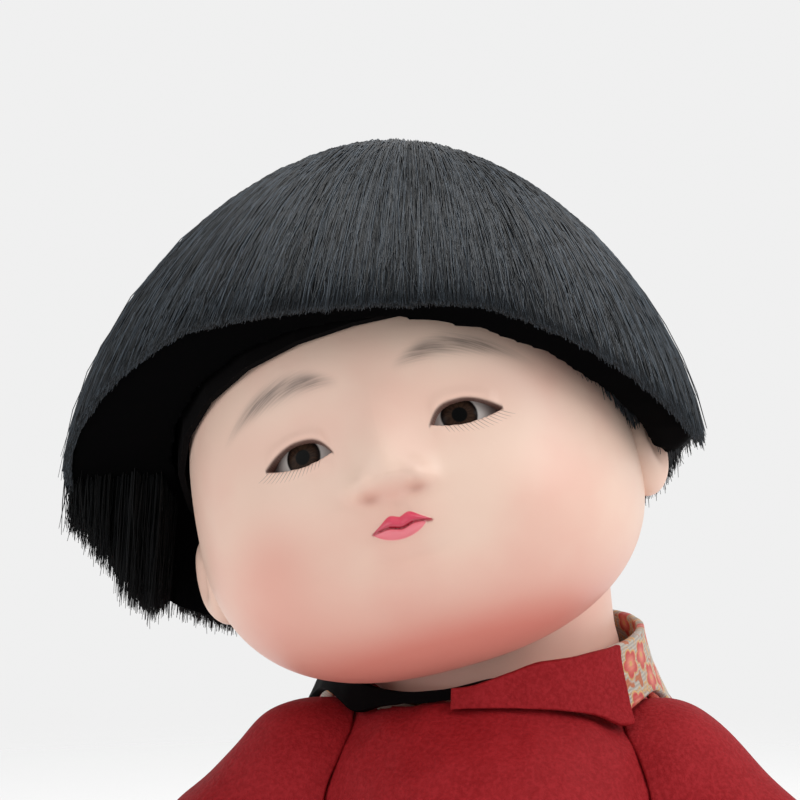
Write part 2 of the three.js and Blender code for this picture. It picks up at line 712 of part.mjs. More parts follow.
// A cotton-stuffed thigh, fullest half way to the knee.
function thigh() {
  const bend = point(knee.x, hip.y, hip.z);
  const swell = (t) => thighRadius + 1.2 * Math.sin(Math.PI * t) - 1.5 * t;
  const column = sweep(new THREE.LineCurve3(bend, knee), (t) => [swell(t), swell(t)], 12, 4, point(0, 1, 0));
  const round = ellipsoid(bend, point(1, 1, 1).multiplyScalar(thighRadius), 12, 8);
  const stuffed = joined([rod(hip, bend, thighRadius, 12), round, column]);
  const seat = halfSpace(point(hip.x, 0, 0), point(1, 0, 0));
  const cut = halfSpace(knee, point(0, 0, 1));
  return without(stuffed, seat, cut, axle(hip, seatGap), legWire(seatGap));
}

// Knee, shin and foot in one moulding, lying along the floor with the sole up.
function lowerLeg() {
  const start = point(knee.x, knee.y, shinRadius * 0.96);
  const ankle = point(knee.x + 3, knee.y + shinLength, ankleRadius * 0.96);
  const toes = ankle.clone().add(point(1, footLength, -2));
  const calf = (t) => mix(shinRadius, ankleRadius, t) + 1.8 * Math.sin(Math.PI * Math.min(1, t * 1.3));
  const instep = (t) => [mix(ankleRadius, footWidth / 2, t), mix(ankleRadius * 0.85, toeRadius * 1.4, t)];
  const parts = [
    ellipsoid(start, point(1, 1, 1.02).multiplyScalar(thighRadius - 1), 12, 8),
    sweep(new THREE.LineCurve3(start, ankle), (t) => [calf(t), calf(t)], 10, 5, point(1, 0, 0)),
    ellipsoid(ankle.clone().add(point(0, 2, 2)), point(1, 1, 1).multiplyScalar(ankleRadius), 8, 6),
    sweep(new THREE.LineCurve3(ankle, toes), instep, 10, 3, point(1, 0, 0)),
  ];
  for (const k of count(5)) {
    const radius = toeRadius * (k === 0 ? 1.25 : 1 - 0.07 * k);
    const place = toes.clone().add(point((2 - k) * (footWidth / 5), 2 - Math.abs(k - 1) * 0.8, 0));
    parts.push(ellipsoid(place, point(radius * 0.8, radius * 1.3, radius), 6, 5));
  }
  const floor = halfSpace(point(0, 0, 0), point(0, 0, 1));
  const seat = halfSpace(knee.clone().add(point(0, 0, -seatGap)), point(0, 0, -1));
  return without(joined(parts), floor, seat, legWire(seatGap));
}

// Robe

const collarTopRadius = neckRadius + neckSwell + collarEase;
const collarFootRadius = collarTopRadius + collarFlare;
const waist = spine(waistShare);
const sashFront = waist.y - sashWidth / 2;
const sashRear = waist.y + sashWidth / 2;
const sleeveRadius = armRadius + sleeveEase + clothThickness;
const sleeveInner = chestHalfWidth - sleeveLap; // of a sleeve's root from the middle of the doll

function bodice() {
  const neckHole = placed(rod(point(0, 0, -collarDrop), point(0, 0, far), collarTopRadius, 24), neckMatrix);
  const armholes = [1, -1].flatMap((side) => [
    limbSeat(shoulder, side, armRadius + 3 * turnGap, 0),
  ]);
  return without(torsoLayer(robeEase, clothThickness), behind(sashRear), neckHole, ...armholes);
}

const sashLift = robeEase + clothThickness + clothGap;

function sash() {
  return without(torsoLayer(sashLift, sashThickness), ahead(sashFront), behind(sashRear));
}

// A lapel lies on the chest from one side of the neck to the far side of the waist.
function lapel(side, layer) {
  const skin = torsoLayer(sashLift + layer * (lapelThickness + clothGap), lapelThickness);
  const start = point(side * collarTopRadius * 0.8, neckPlace.y - collarTopRadius, 0);
  const end = point(-side * lapelWidth * 0.4, sashFront, 0);
  const across = point(end.y - start.y, start.x - end.x, 0).normalize();
  const band = [1, -1].map((way) =>
    halfSpace(start.clone().addScaledVector(across, (way * lapelWidth) / 2), across.clone().multiplyScalar(-way)),
  );
  const above = halfSpace(point(0, 0, shoulder.z), point(0, 0, -1));
  const sleeves = limbSeat(shoulder, side, sleeveRadius + 2 * turnGap, 0);
  return without(skin, ...band, behind(sashFront - clothGap), above, sleeves);
}

const skirtFront = sashRear + clothGap;
const skirtHalfWidth = knee.x + thighRadius + skirtEase + clothThickness;

// Half a draped dome over the rump and thighs, grown outwards by "grow".
function skirtSolid(grow) {
  const ridgeFront = waist.z + halfHeightAt(waistShare) + robeEase;
  const base = -10;
  const steps = 8;
  const sides = 24;
  const rings = count(steps + 1).map((i) => {
    const share = Math.sin((Math.PI / 2) * Math.min(i / steps, 0.985));
    const close = Math.pow(1 - Math.pow(share, 6), 0.5);
    const gather = mix(0.93, 1, Math.sin(Math.min(1, share * 2.2) * Math.PI * 0.5));
    const width = (skirtHalfWidth * gather + grow) * Math.pow(close, 0.8);
    const ridge = ridgeFront - skirtDrop * share * share + grow;
    return count(sides + 1).map((k) => {
      const turn = (Math.PI * k) / sides;
      const [across, up] = [Math.cos(turn), Math.sin(turn)];
      const fold = foldDepth * (1 - up) * close * Math.cos(skirtFolds * turn);
      const x = Math.sign(across) * Math.pow(Math.abs(across), 0.55) * (width + fold);
      const y = skirtFront + share * (skirtLength + grow);
      return point(x, y, base + (ridge - base) * Math.pow(up * close, 0.8));
    });
  });
  return loft(rings);
}

const hemPlane = (rise, facing) =>
  halfSpace(point(0, skirtFront, hemLevel + rise), point(0, -hemSlope, 1).multiplyScalar(facing));

// The cloth between two skirt surfaces, open at the waist.
function skirtShell(outward, inward) {
  const hollow = skirtSolid(-inward);
  const open = placed(hollow, new THREE.Matrix4().makeTranslation(0, -inward, 0));
  return without(skirtSolid(outward), hollow, open);
}

function skirt() {
  return skirtShell(0, clothThickness).subtract(hemPlane(hemHeight + seatGap, 1));
}

function paddedHem() {
  const roll = skirtShell(hemPadding, clothThickness + hemPadding);
  return without(roll, hemPlane(0, 1), hemPlane(hemHeight, -1));
}

// A sleeve hangs open down the arm, wider from front to back than across.
function sleeve() {
  const root = point(sleeveInner, shoulder.y, shoulder.z);
  const cuff = point(wrist.x + 1, wrist.y + 4, cuffHeight);
  const drop = point(wrist.x + 1, mix(shoulder.y, wrist.y, 0.3), mix(shoulder.z, wrist.z, 0.45));
  const curve = new THREE.CubicBezierCurve3(root, root.clone().add(point(armSpread * 0.55, 0, 0)), drop, cuff);
  const folds = (t) => 0.9 * Math.sin(5 * Math.PI * t) * Math.min(1, 3 * t);
  const size = (grow) => (t) => [
    mix(sleeveRadius, cuffWidth, t * t) + folds(t) + grow,
    mix(sleeveRadius, cuffDepth, t * t) + folds(t) + grow,
  ];
  const tube = (grow) => sweep(curve, size(grow), 14, 9, point(0, 1, 0));
  const mouth = curve.getTangent(1);
  const [armhole, cuffHole] = [
    new THREE.LineCurve3(root.clone().add(point(-1, 0, 0)), root.clone().add(point(1, 0, 0))),
    new THREE.LineCurve3(cuff.clone().addScaledVector(mouth, -1), cuff.clone().addScaledVector(mouth, 1)),
  ];
  const ends = [
    sweep(armhole, () => size(-clothThickness)(0), 14, 1, point(0, 1, 0)),
    sweep(cuffHole, () => size(-clothThickness)(1), 14, 1, point(0, 1, 0)),
  ];
  const robe = torsoSolid(robeEase + clothThickness + clothGap, 20, 12);
  const swings = [-1, -0.5, 0, 0.5, 1].map((way) => {
    const turn = new THREE.Matrix4().makeRotationX(way * armSwing);
    const about = (sign) => new THREE.Matrix4().makeTranslation(0, sign * shoulder.y, sign * shoulder.z);
    return placed(robe, about(1).multiply(turn).multiply(about(-1)));
  });
  return without(tube(0), tube(-clothThickness), ...ends, ...swings);
}

// What the collar bands are cut back to: the robe under them, and the jaw as it turns above them.
function collarClear() {
  const sleeves = [1, -1].map((side) => limbSeat(shoulder, side, sleeveRadius + turnGap, sleeveInner));
  const robe = placed(joined([torsoSolid(sashLift, 20, 12), ...sleeves]), neckMatrix.clone().invert());
  const jaw = placed(headSolid(-turnGap, 24, 14, false), neckToHead.clone().invert());
  const turns = [-1, 0, 1].map((way) => placed(jaw, new THREE.Matrix4().makeRotationZ(way * headSwing)));
  return [robe, ...turns];
}

// Collar bands stand round the neck axis. Angles run from the front towards the doll's left.
function collarBand(from, to, layer, rise, dip) {
  const step = 8;
  const steps = Math.round((to - from) / step);
  const out = layer * (collarThickness + clothGap);
  const rings = count(steps + 1).map((i) => {
    const turn = mix(from, to, i / steps) * degree;
    const at = (radius, height) =>
      point(Math.sin(turn) * (radius + out), -Math.cos(turn) * (radius + out), height);
    const waisted = mix(collarTopRadius, collarFootRadius, 0.25);
    const top = collarHeight + rise - (dip * (1 - Math.cos(turn - brocadePeak))) / 2;
    const middle = mix(-collarDrop, top, 0.6);
    return [
      at(collarTopRadius, top),
      at(waisted, middle),
      at(collarFootRadius, -collarDrop),
      at(collarFootRadius + collarThickness, -collarDrop),
      at(waisted + collarThickness, middle),
      at(collarTopRadius + collarThickness, top),
    ];
  });
  return without(loft(rings), ...collarClear());
}

// Bow of the sash, tied over the spine

const waistSlope = spine(waistShare + 0.01).sub(spine(waistShare - 0.01)).normalize();
const sashTop = waist.z + (halfHeightAt(waistShare) + sashLift + sashThickness) / waistSlope.y;
const bowPlace = () => point(0, waist.y, sashTop + 3 * clothGap + ribbonThickness + bowHeight / 2);

function bowKnot() {
  const half = point(knotSize / 2, knotSize / 2, bowHeight / 2 + clothGap + ribbonThickness);
  return ellipsoid(bowPlace(), half, 10, 8);
}

// A ribbon bent into a loop: both ends lie on each other where the knot holds them.
function bowLoop() {
  const start = knotSize / 2 + seatGap;
  const path = (from, end, pinch, rise) =>
    new THREE.Shape()
      .moveTo(from, -pinch)
      .bezierCurveTo(end * 0.5, -rise * 0.6, end, -rise * 0.6, end, 0)
      .bezierCurveTo(end, rise * 1.9, end * 0.5, rise * 1.6, from, pinch)
      .closePath();
  const ribbon = path(start, bowSpan, ribbonThickness, bowHeight / 2);
  const eye = path(start + 2 * ribbonThickness, bowSpan - ribbonThickness, 0.3, bowHeight / 2 - ribbonThickness);
  ribbon.holes.push(eye);
  const loop = new THREE.ExtrudeGeometry(ribbon, { depth: bowWidth, curveSegments: 7, bevelEnabled: false });
  const place = bowPlace().add(point(0, bowWidth / 2, 0));
  const droop = new THREE.Matrix4().makeRotationY(bowDroop).setPosition(place);
  return placed(solidOf(loop.rotateX(Math.PI / 2)), droop);
}

function bowTail() {
  const skin = torsoLayer(sashLift + sashThickness + clothGap, ribbonThickness);
  const start = knotSize / 2 + seatGap;
  const half = sashWidth / 3;
  const flank = halfSpace(point(bowSpan, 0, waist.z), point(-1, 0, 0));
  const knot = halfSpace(point(start, 0, 0), point(1, 0, 0));
  const below = halfSpace(point(0, 0, waist.z), point(0, 0, 1));
  return without(skin, flank, knot, below, ahead(waist.y - half), behind(waist.y + half));
}

// Assembly

const doll = new THREE.Group();
const headGroup = new THREE.Group();
const hairGroup = new THREE.Group();
const neckGroup = new THREE.Group();
headGroup.applyMatrix4(headMatrix);
hairGroup.applyMatrix4(hairMatrix);
neckGroup.applyMatrix4(neckMatrix);
doll.add(headGroup, hairGroup, neckGroup);

function add(group, name, solid, finish) {
  const mesh = new THREE.Mesh(geometryOf(solid), finishes[finish].clone());
  mesh.name = name;
  group.add(mesh);
}

const head = headHalves();
add(headGroup, "face_half", head.face, "shellWhite");
add(headGroup, "head_back_half", head.back, "shellWhite");
for (const [name, side] of [["left", 1], ["right", -1]]) {
  const socket = new THREE.Group();
  socket.applyMatrix4(eyeFrame(side));
  headGroup.add(socket);
  add(socket, `${name}_glass_eye`, glassEye(), "glass");
  add(socket, `${name}_eye_bed`, eyeBed(), "putty");
}
add(headGroup, "wig_cap", wigCap(), "capCloth");
const rows = hairRows();
add(hairGroup, "hair_fringe", rows.fringe, "hair");
add(hairGroup, "hair_back", rows.back, "hair");
add(hairGroup, "hair_left", rows.left, "hair");
add(hairGroup, "hair_right", rows.right, "hair");
add(neckGroup, "neck", neckSolid(0).subtract(dowelSolid(seatGap)), "shellWhite");
add(neckGroup, "neck_dowel", dowelSolid(0), "wood");
add(neckGroup, "neck_socket", neckSocket(), "wood");

const torso = torsoHalves();
add(doll, "torso_back_half", torso.back, "shellWhite");
add(doll, "torso_belly_half", torso.belly, "shellWhite");
add(doll, "shoulder_axle", axle(shoulder, 0), "wire");
add(doll, "hip_axle", axle(hip, 0), "wire");

for (const [name, mirror] of [["left", (solid) => solid], ["right", mirrored]]) {
  add(doll, `${name}_upper_arm`, mirror(upperArm()), "cotton");
  add(doll, `${name}_arm_wire`, mirror(armWire(0)), "wire");
  add(doll, `${name}_hand`, mirror(hand()), "shellWhite");
  add(doll, `${name}_sleeve`, mirror(sleeve()), "redCrepe");
  add(doll, `${name}_thigh`, mirror(thigh()), "cotton");
  add(doll, `${name}_leg_wire`, mirror(legWire(0)), "wire");
  add(doll, `${name}_lower_leg`, mirror(lowerLeg()), "shellWhite");
  add(doll, `${name}_bow_loop`, mirror(bowLoop()), "brocade");
  add(doll, `${name}_bow_tail`, mirror(bowTail()), "brocade");
}

add(doll, "robe_bodice", bodice(), "redCrepe");
add(doll, "robe_skirt", skirt(), "redCrepe");
add(doll, "padded_hem", paddedHem(), "blackSatin");
add(doll, "left_lapel", lapel(1, 1), "redCrepe");
add(doll, "right_lapel", lapel(-1, 0), "blackSatin");
add(doll, "sash", sash(), "brocade");
add(doll, "bow_knot", bowKnot(), "brocade");
const blackBand = collarBand(backSeam - 360 + seamHalf, frontSeam - seamHalf, 0, blackRise, 0);
const brocadeBand = collarBand(frontSeam + seamHalf, backSeam - seamHalf, 0, brocadeRise, brocadeDip);
add(neckGroup, "black_collar", blackBand, "blackSatin");
add(neckGroup, "red_collar", collarBand(redCollarFrom, redCollarTo, 1, redRise, 0), "redCrepe");
add(neckGroup, "brocade_collar", brocadeBand, "brocade");

// Stand the doll on the floor, with the origin under the middle of it.
const extent = new THREE.Box3().setFromObject(doll, true);
const middle = extent.getCenter(point());
doll.position.set(-middle.x, -middle.y, -extent.min.z);
const part = new THREE.Group();
part.add(doll);

export default part;
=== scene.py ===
"""Looks of a crawling baby doll on its frame: painted head, planted hair, crepe robe and stage."""

import json
import math

import bmesh
import bpy
import numpy as np
from bpy.props import FloatProperty, FloatVectorProperty, IntProperty, PointerProperty
from mathutils import Matrix, Vector
from mathutils.bvhtree import BVHTree


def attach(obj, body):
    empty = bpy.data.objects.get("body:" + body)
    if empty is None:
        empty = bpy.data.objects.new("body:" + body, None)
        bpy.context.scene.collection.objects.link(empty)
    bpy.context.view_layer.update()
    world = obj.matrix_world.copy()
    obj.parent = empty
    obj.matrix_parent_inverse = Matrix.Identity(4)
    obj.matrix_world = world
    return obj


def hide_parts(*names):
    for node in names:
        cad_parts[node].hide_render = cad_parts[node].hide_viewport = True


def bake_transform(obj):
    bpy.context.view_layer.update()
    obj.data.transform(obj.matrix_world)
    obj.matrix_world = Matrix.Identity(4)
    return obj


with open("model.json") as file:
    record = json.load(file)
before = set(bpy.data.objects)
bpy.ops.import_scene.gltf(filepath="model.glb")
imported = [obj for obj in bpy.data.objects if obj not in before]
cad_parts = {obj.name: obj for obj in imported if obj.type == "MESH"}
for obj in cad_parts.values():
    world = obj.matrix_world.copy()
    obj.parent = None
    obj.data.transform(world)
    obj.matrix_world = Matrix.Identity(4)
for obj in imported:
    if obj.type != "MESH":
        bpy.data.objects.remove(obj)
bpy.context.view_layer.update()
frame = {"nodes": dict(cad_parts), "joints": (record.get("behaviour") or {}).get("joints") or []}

bl_info = {
    "name": "Crawling Baby Doll",
    "version": (1, 0, 0),
    "blender": (4, 5, 0),
    "location": "3D View > Sidebar > Doll",
    "description": "Builds the looks of a crawling baby doll on its frame",
    "category": "Object",
}

# Sizes are in millimetres and angles in degrees unless a name says otherwise.
SEED = 11
MM = 0.001
SIDES = {1: "left", -1: "right"}

# Stage: the floor in metres, and what the camera looks at, from the head's middle.
FLOOR_RADIUS, FLOOR_DROP = 0.6, -0.0005
AIM_ASIDE, AIM_UP = -2.57, 14.07

# Head: half width at the cheeks, chin under and crown over its middle, face and nape depths.
HALF_WIDTH, CHEEK_LEVEL, CHIN_DROP, CHIN_REACH, CROWN_RISE = 42.2, -7.0, 39.3, 8.0, 55.0
FACE_DEPTH, FACE_LEVEL, NAPE_DEPTH, NAPE_LEVEL = 41.0, 2.0, 46.0, 12.0
JOWL_ROUND, MUZZLE_ROUND, SKULL_ROUND, NAPE_ROUND, PLAN_ROUND = 2.3, 2.2, 2.1, 1.5, 2.2
HEAD_TURN, HEAD_LIFT, HEAD_LEAN, NECK_LEAN = -7.0, 14.5, 16.0, 12.0
HEAD_FROM_NECK = (-14.3, -14.4, 40.8)
NOSE_LEVEL, MOUTH_LEVEL, MOUTH_HALF, CHIN_LEVEL = -7.1, -17.4, 5.6, -27.0
EYE_SPREAD, EYE_LEVEL, EYE_TILT, EYE_HALF, UPPER_LID, LOWER_LID = 15.4, -0.8, 0.06, 6.7, 3.4, 1.15
EYE_RADIUS, EYE_SINK, LASH_STEP = 10.0, 1.0, 0.74
EAR_HALF, EAR_LEVEL, EAR_SLOPE, EAR_BACK = (5.4, 5.5, 9.0), -7.8, 1.6, 2.75

# Hair: the dome's half sizes, how it follows the lifted crown, and where it is cut.
HAIR_HALF, HAIR_DEPTH, HAIR_TOP, HAIR_BRIM, HAIR_FLARE, HAIR_SHIFT = 61.2, 61.0, 64.0, -1.5, 3.8, 5.4
HAIR_ROUND, BOB_DROP, BOB_LEAN, BOB_CORNER = 1.78, 20.0, 13.0, 17.0
FRINGE_LEVEL, FRINGE_STEP, FRINGE_BACK, FRINGE_SIDE = 31.5, 6.5, 38.0, 2.0
TEMPLE_REACH, TEMPLE_LEVEL, EAR_LINE, EAR_TOP = 16.0, 4.5, -6.6, -2.0
STRAND_LINES, WHORL_BACK, CURTAIN_DEPTH, CURTAIN_WIDTH = 1441, 0.32, 16.0, 19.0
INNER_LAYERS = (3.0, 6.5, 10.0, 13.5)
NAPE_START, NAPE_TRIM, BEHIND_EAR, BOB_FLAT, BOB_HOLLOW = 15.0, 0.8, -10.0, 30.0, 3.5
# Beside the face: how far sideways a strand hangs, and the height where the hair ends there.
LEFT_BOB = (33, 40, 48, 54, 56.5, 60, 65), (-30.5, -29.5, -27, -23.5, -18.5, -15.5, -10.6)
RIGHT_BOB = (44, 48.8, 52.2, 54, 56), (-3.4, 0.8, 6.4, 12, 15)
HAIR_ROWS = ("hair_fringe", "hair_back", "hair_left", "hair_right")
STRAND_TONES = (0.0055, 0.0095, 0.017, 0.029, 0.05)
STRAND_STEPS, INNER_STEPS, CURTAIN_LEFT_SHARE = 7, 5, 0.74

# Robe: the line of a sleeve from the middle of the shoulder axle, its sizes, and the collar bands.
JOINT_OF_ARM = {1: 1, -1: 3}
SLEEVE_ROOT, SLEEVE_LEAD = (25.5, -61.39, 73.64), 15.95
SLEEVE_DROP, SLEEVE_CUFF = (60.0, -68.29, 49.95), (60.0, -80.39, 28.0)
SLEEVE_RADIUS, CUFF_WIDTH, CUFF_DEPTH, SLEEVE_FOLD, SLEEVE_PUFF = 18.0, 22.0, 17.0, 0.9, 5.0
SLEEVE_SIDES, SLEEVE_INWARD, SLEEVE_CLOTH, SEAM_GAP = 72, 15.0, 1.4, 0.9
GATHER_DEPTH, GATHER_GAP, HEM_SLOPE, HEM_TUCK = 18.0, 0.8, 0.32, 1.4
COLLAR_TOP, COLLAR_FLARE, COLLAR_HEIGHT, COLLAR_DROP, COLLAR_PEAK = 29.3, 6.0, 9.0, 6.0, 40.0
COLLAR_LAYER, COLLAR_CLOTH, COLLAR_GAP, JAW_GAP, HEAD_SWING = 2.2, 1.5, 0.8, 1.1, 12.0
COLLAR_STEPS, SLEEVE_ROWS, FLOWER_STEP = 60, 90, 7.5

# Shares of the faces that are kept where a fine skin is thinned.
KEPT_MASS, KEPT_LEG, KEPT_CLOTH, KEPT_BAND = 0.5, 0.6, 0.5, 0.4


class Value:
    """A number or colour in a material, which takes part in sums as a plain one does."""

    def __init__(self, finish, socket):
        self.finish, self.socket = finish, socket

    def sum(self, operation, *values):
        return self.finish.node("ShaderNodeMath", enumerate(values), operation=operation)

    def __add__(self, other):
        return self.sum("ADD", self, other)

    __radd__ = __add__

    def __sub__(self, other):
        return self.sum("SUBTRACT", self, other)

    def __rsub__(self, other):
        return self.sum("SUBTRACT", other, self)

    def __mul__(self, other):
        return self.sum("MULTIPLY", self, other)

    __rmul__ = __mul__

    def __truediv__(self, other):
        return self.sum("DIVIDE", self, other)

    def __pow__(self, other):
        return self.sum("POWER", self, other)

    def __abs__(self):
        return self.sum("ABSOLUTE", self)

    def __neg__(self):
        return 0.0 - self

    def least(self, other):
        return self.sum("MINIMUM", self, other)

    def most(self, other):
        return self.sum("MAXIMUM", self, other)

    def wave(self):
        return self.sum("SINE", self)

    def part(self):
        return self.sum("FRACT", self)

    def bell(self, width=1.0):
        """1 at nought, falling to either side over the width."""
        return self.sum("EXPONENT", (self / width) * (self / width) * -0.5)

    def step(self, low, high):
        """A smooth rise from 0 at low to 1 at high."""
        inputs = {"Value": self, "From Min": low, "From Max": high}
        return self.finish.node("ShaderNodeMapRange", inputs.items(), interpolation_type="SMOOTHSTEP")

    def mix(self, first, second):
        """The colour between two, at this share."""
        inputs = {0: self, 6: first, 7: second}
        settings = {"data_type": "RGBA", "clamp_factor": True}
        return self.finish.node("ShaderNodeMix", inputs.items(), output=2, **settings)


class Finish:
    """One material and the values that feed its shader."""

    def __init__(self, name, **plain):
        self.material = bpy.data.materials.new(name)
        self.material.use_nodes = True
        self.tree = self.material.node_tree
        self.shader = self.tree.nodes["Principled BSDF"]
        self.feed(**plain)

    def node(self, kind, inputs=(), output=0, **settings):
        """Makes a node and gives back one of its outputs."""
        made = self.tree.nodes.new(kind)
        for key, value in settings.items():
            setattr(made, key, value)
        for key, value in inputs:
            self.join(value, made.inputs[key])
        return Value(self, made.outputs[output])

    def join(self, value, socket):
        if isinstance(value, Value):
            self.tree.links.new(value.socket, socket)
        elif isinstance(value, tuple) and len(value) == 3 and socket.type == "RGBA":
            socket.default_value = (*value, 1.0)
        else:
            socket.default_value = value

    def feed(self, **sockets):
        for name, value in sockets.items():
            self.join(value, self.shader.inputs[name.replace("_", " ").title().replace("Ior", "IOR")])

    def place(self, name=None):
        """Three values: a named attribute of the mesh, or the place in metres."""
        if name:
            vector = self.node("ShaderNodeAttribute", output=1, attribute_name=name)
        else:
            vector = self.node("ShaderNodeTexCoord", output=3)
        made = self.node("ShaderNodeSeparateXYZ", [(0, vector)])
        return [Value(self, out) for out in made.socket.node.outputs]

    def vector(self, x, y, z=0.0):
        return self.node("ShaderNodeCombineXYZ", enumerate((x, y, z)))

    def noise(self, where, scale, detail=2.0, roughness=0.5):
        inputs = {"Vector": where, "Scale": scale, "Detail": detail, "Roughness": roughness}
        return self.node("ShaderNodeTexNoise", inputs.items())

    def bump(self, height, distance, strength=1.0):
        inputs = {"Height": height, "Distance": distance, "Strength": strength}
        self.feed(normal=self.node("ShaderNodeBump", inputs.items()))


# Settings


def length_setting(name, description, default):
    """A length that a user may change, in metres."""
    return FloatProperty(
        name=name, description=description, default=default, unit="LENGTH", subtype="DISTANCE"
    )


def colour_setting(name, description, default):
    """A colour that a user may change."""
    return FloatVectorProperty(name=name, description=description, default=default, subtype="COLOR")


# Pieces


def deselect():
    bpy.ops.object.select_all(action="DESELECT")


def choose(obj):
    deselect()
    obj.select_set(True)
    bpy.context.view_layer.objects.active = obj


def linked(name, data):
    """A new object in the scene for a mesh, light or camera."""
    obj = bpy.data.objects.new(name, data)
    bpy.context.scene.collection.objects.link(obj)
    return obj


def primitive(kind, name, **sizes):
    """A new piece from one of the mesh primitives."""
    deselect()
    getattr(bpy.ops.mesh, f"primitive_{kind}_add")(**sizes)
    obj = bpy.context.object
    obj.name = obj.data.name = name
    return obj


def unit_ball(name, segments, rings):
    """A ball of radius one with its points, to be shaped."""
    obj = primitive("uv_sphere", name, segments=segments, ring_count=rings, radius=1.0)
    return obj, points_of(obj) * MM


def built(name, points, faces):
    """A piece from points in millimetres and the faces between them."""
    mesh = bpy.data.meshes.new(name)
    mesh.from_pydata((np.asarray(points) * MM).tolist(), [], faces)
    mesh.update()
    return linked(name, mesh)


def copied(name, *nodes):
    """A piece with the merged surface of some of the frame's nodes."""
    made = bmesh.new()
    for node in nodes:
        made.from_mesh(frame["nodes"][node].data)
    bmesh.ops.remove_doubles(made, verts=made.verts, dist=1e-6)
    mesh = bpy.data.meshes.new(name)
    made.to_mesh(mesh)
    made.free()
    return linked(name, mesh)


def triples(items, field):
    flat = np.empty(len(items) * 3, np.float32)
    items.foreach_get(field, flat)
    return flat.reshape(-1, 3).astype(float)


def points_of(obj):
    return triples(obj.data.vertices, "co") / MM


def normals_of(obj):
    return triples(obj.data.vertex_normals, "vector")


def move(obj, points):
    obj.data.vertices.foreach_set("co", (np.asarray(points) * MM).astype(np.float32).ravel())
    obj.data.update()


def note(obj, name, values):
    """Keeps a number or three for every point of a piece, for its material to read."""
    values = np.asarray(values, np.float32)
    kind, field = ("FLOAT", "value") if values.ndim == 1 else ("FLOAT_VECTOR", "vector")
    obj.data.attributes.new(name, kind, "POINT").data.foreach_set(field, values.ravel())


def modify(obj, kind, **settings):
    """Adds a modifier with these settings and applies it."""
    choose(obj)
    made = obj.modifiers.new(kind.title(), kind)
    for key, value in settings.items():
        setattr(made, key, value)
    bpy.ops.object.modifier_apply(modifier=made.name)
    return obj


def remeshed(obj, voxel, rounds):
    """An even, smoothed skin over a piece's surface."""
    modify(obj, "REMESH", mode="VOXEL", voxel_size=voxel * MM, use_smooth_shade=True)
    return modify(obj, "SMOOTH", factor=0.5, iterations=rounds)


def thinned(obj, share):
    """Keeps a share of a piece's faces, fewer where it is flat."""
    return modify(obj, "DECIMATE", ratio=share)


def dressed(obj, finish, body, slot, *nodes):
    """Gives a piece its material and body and hides the nodes that it stands for; the slot is not used."""
    obj.data.materials.clear()
    obj.data.materials.append(finish.material)
    choose(obj)
    bpy.ops.object.shade_smooth()
    if body:
        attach(obj, body)
    if nodes:
        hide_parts(*nodes)
    return obj


def ripple(points, length, seed):
    """Smooth wandering values from -1 to 1 over places that are a length apart."""
    draw = np.random.default_rng(seed)
    total = np.zeros(len(points))
    for _ in range(6):
        way = draw.normal(size=3)
        way *= draw.uniform(0.6, 1.5) * 2 * math.pi / length / np.linalg.norm(way)
        total += np.sin(points @ way + draw.uniform(0, 6.3))
    return total / 4


def uneven(obj, depth, length):
    """Moves a piece's surface softly in and out."""
    points = points_of(obj)
    move(obj, points + depth * ripple(points, length, SEED)[:, None] * normals_of(obj))


def turn(axis, degrees):
    return np.array(Matrix.Rotation(math.radians(degrees), 3, axis))


NECK = np.array(frame["joints"][0]["pos_m"]) / MM
HEAD = NECK + HEAD_FROM_NECK
HEAD_AXES = turn("Z", HEAD_TURN) @ turn("X", -HEAD_LIFT) @ turn("Y", -HEAD_LEAN)
HAIR_AXES = turn("Z", HEAD_TURN)
NECK_AXES = turn("X", NECK_LEAN)


def in_head(points):
    return np.asarray(points) @ HEAD_AXES.T + HEAD


def bell(t):
    return np.exp(-t * t / 2)


def rise(t, low, high):
    t = np.clip((t - low) / (high - low), 0, 1)
    return t * t * (3 - 2 * t)


def crowded(share, density):
    """Places from 0 to 1 for even shares, drawn together where the density is high."""
    grid = np.linspace(0, 1, 8001)
    total = np.cumsum(density(grid))
    return np.interp(share, (total - total[0]) / (total[-1] - total[0]), grid)


# Head


def outline(z, level, full, low_round, high_round):
    """How wide or deep the head is at a height: full at its level, closing at chin and crown."""
    below = z < level
    reach = np.where(below, (level - z) / (level + CHIN_DROP), (z - level) / (CROWN_RISE - level))
    power = np.where(below, low_round, high_round)
    return full * np.maximum(1e-9, 1 - np.clip(reach, 0, 1) ** power) ** (1 / power)


def mouth_line(x):
    """Height of the closed lips over the mouth's middle, and of their outer edges."""
    side = np.abs(x)
    line = -0.35 * bell(x / 1.1) + 0.3 * bell((side - 2.4) / 1.2) - 0.15
    end = np.clip(1 - (side / MOUTH_HALF) ** 2, 0, 1)
    top = line + end**0.9 * (1.75 + 0.65 * bell((side - 1.7) / 0.95) + 0.3 * bell(x / 0.9))
    foot = np.minimum(line, -0.1 - np.clip(1 - ((x + 0.5) / (MOUTH_HALF * 0.88)) ** 2, 0, 1) ** 0.75 * 2.0)
    return line, top, foot, end


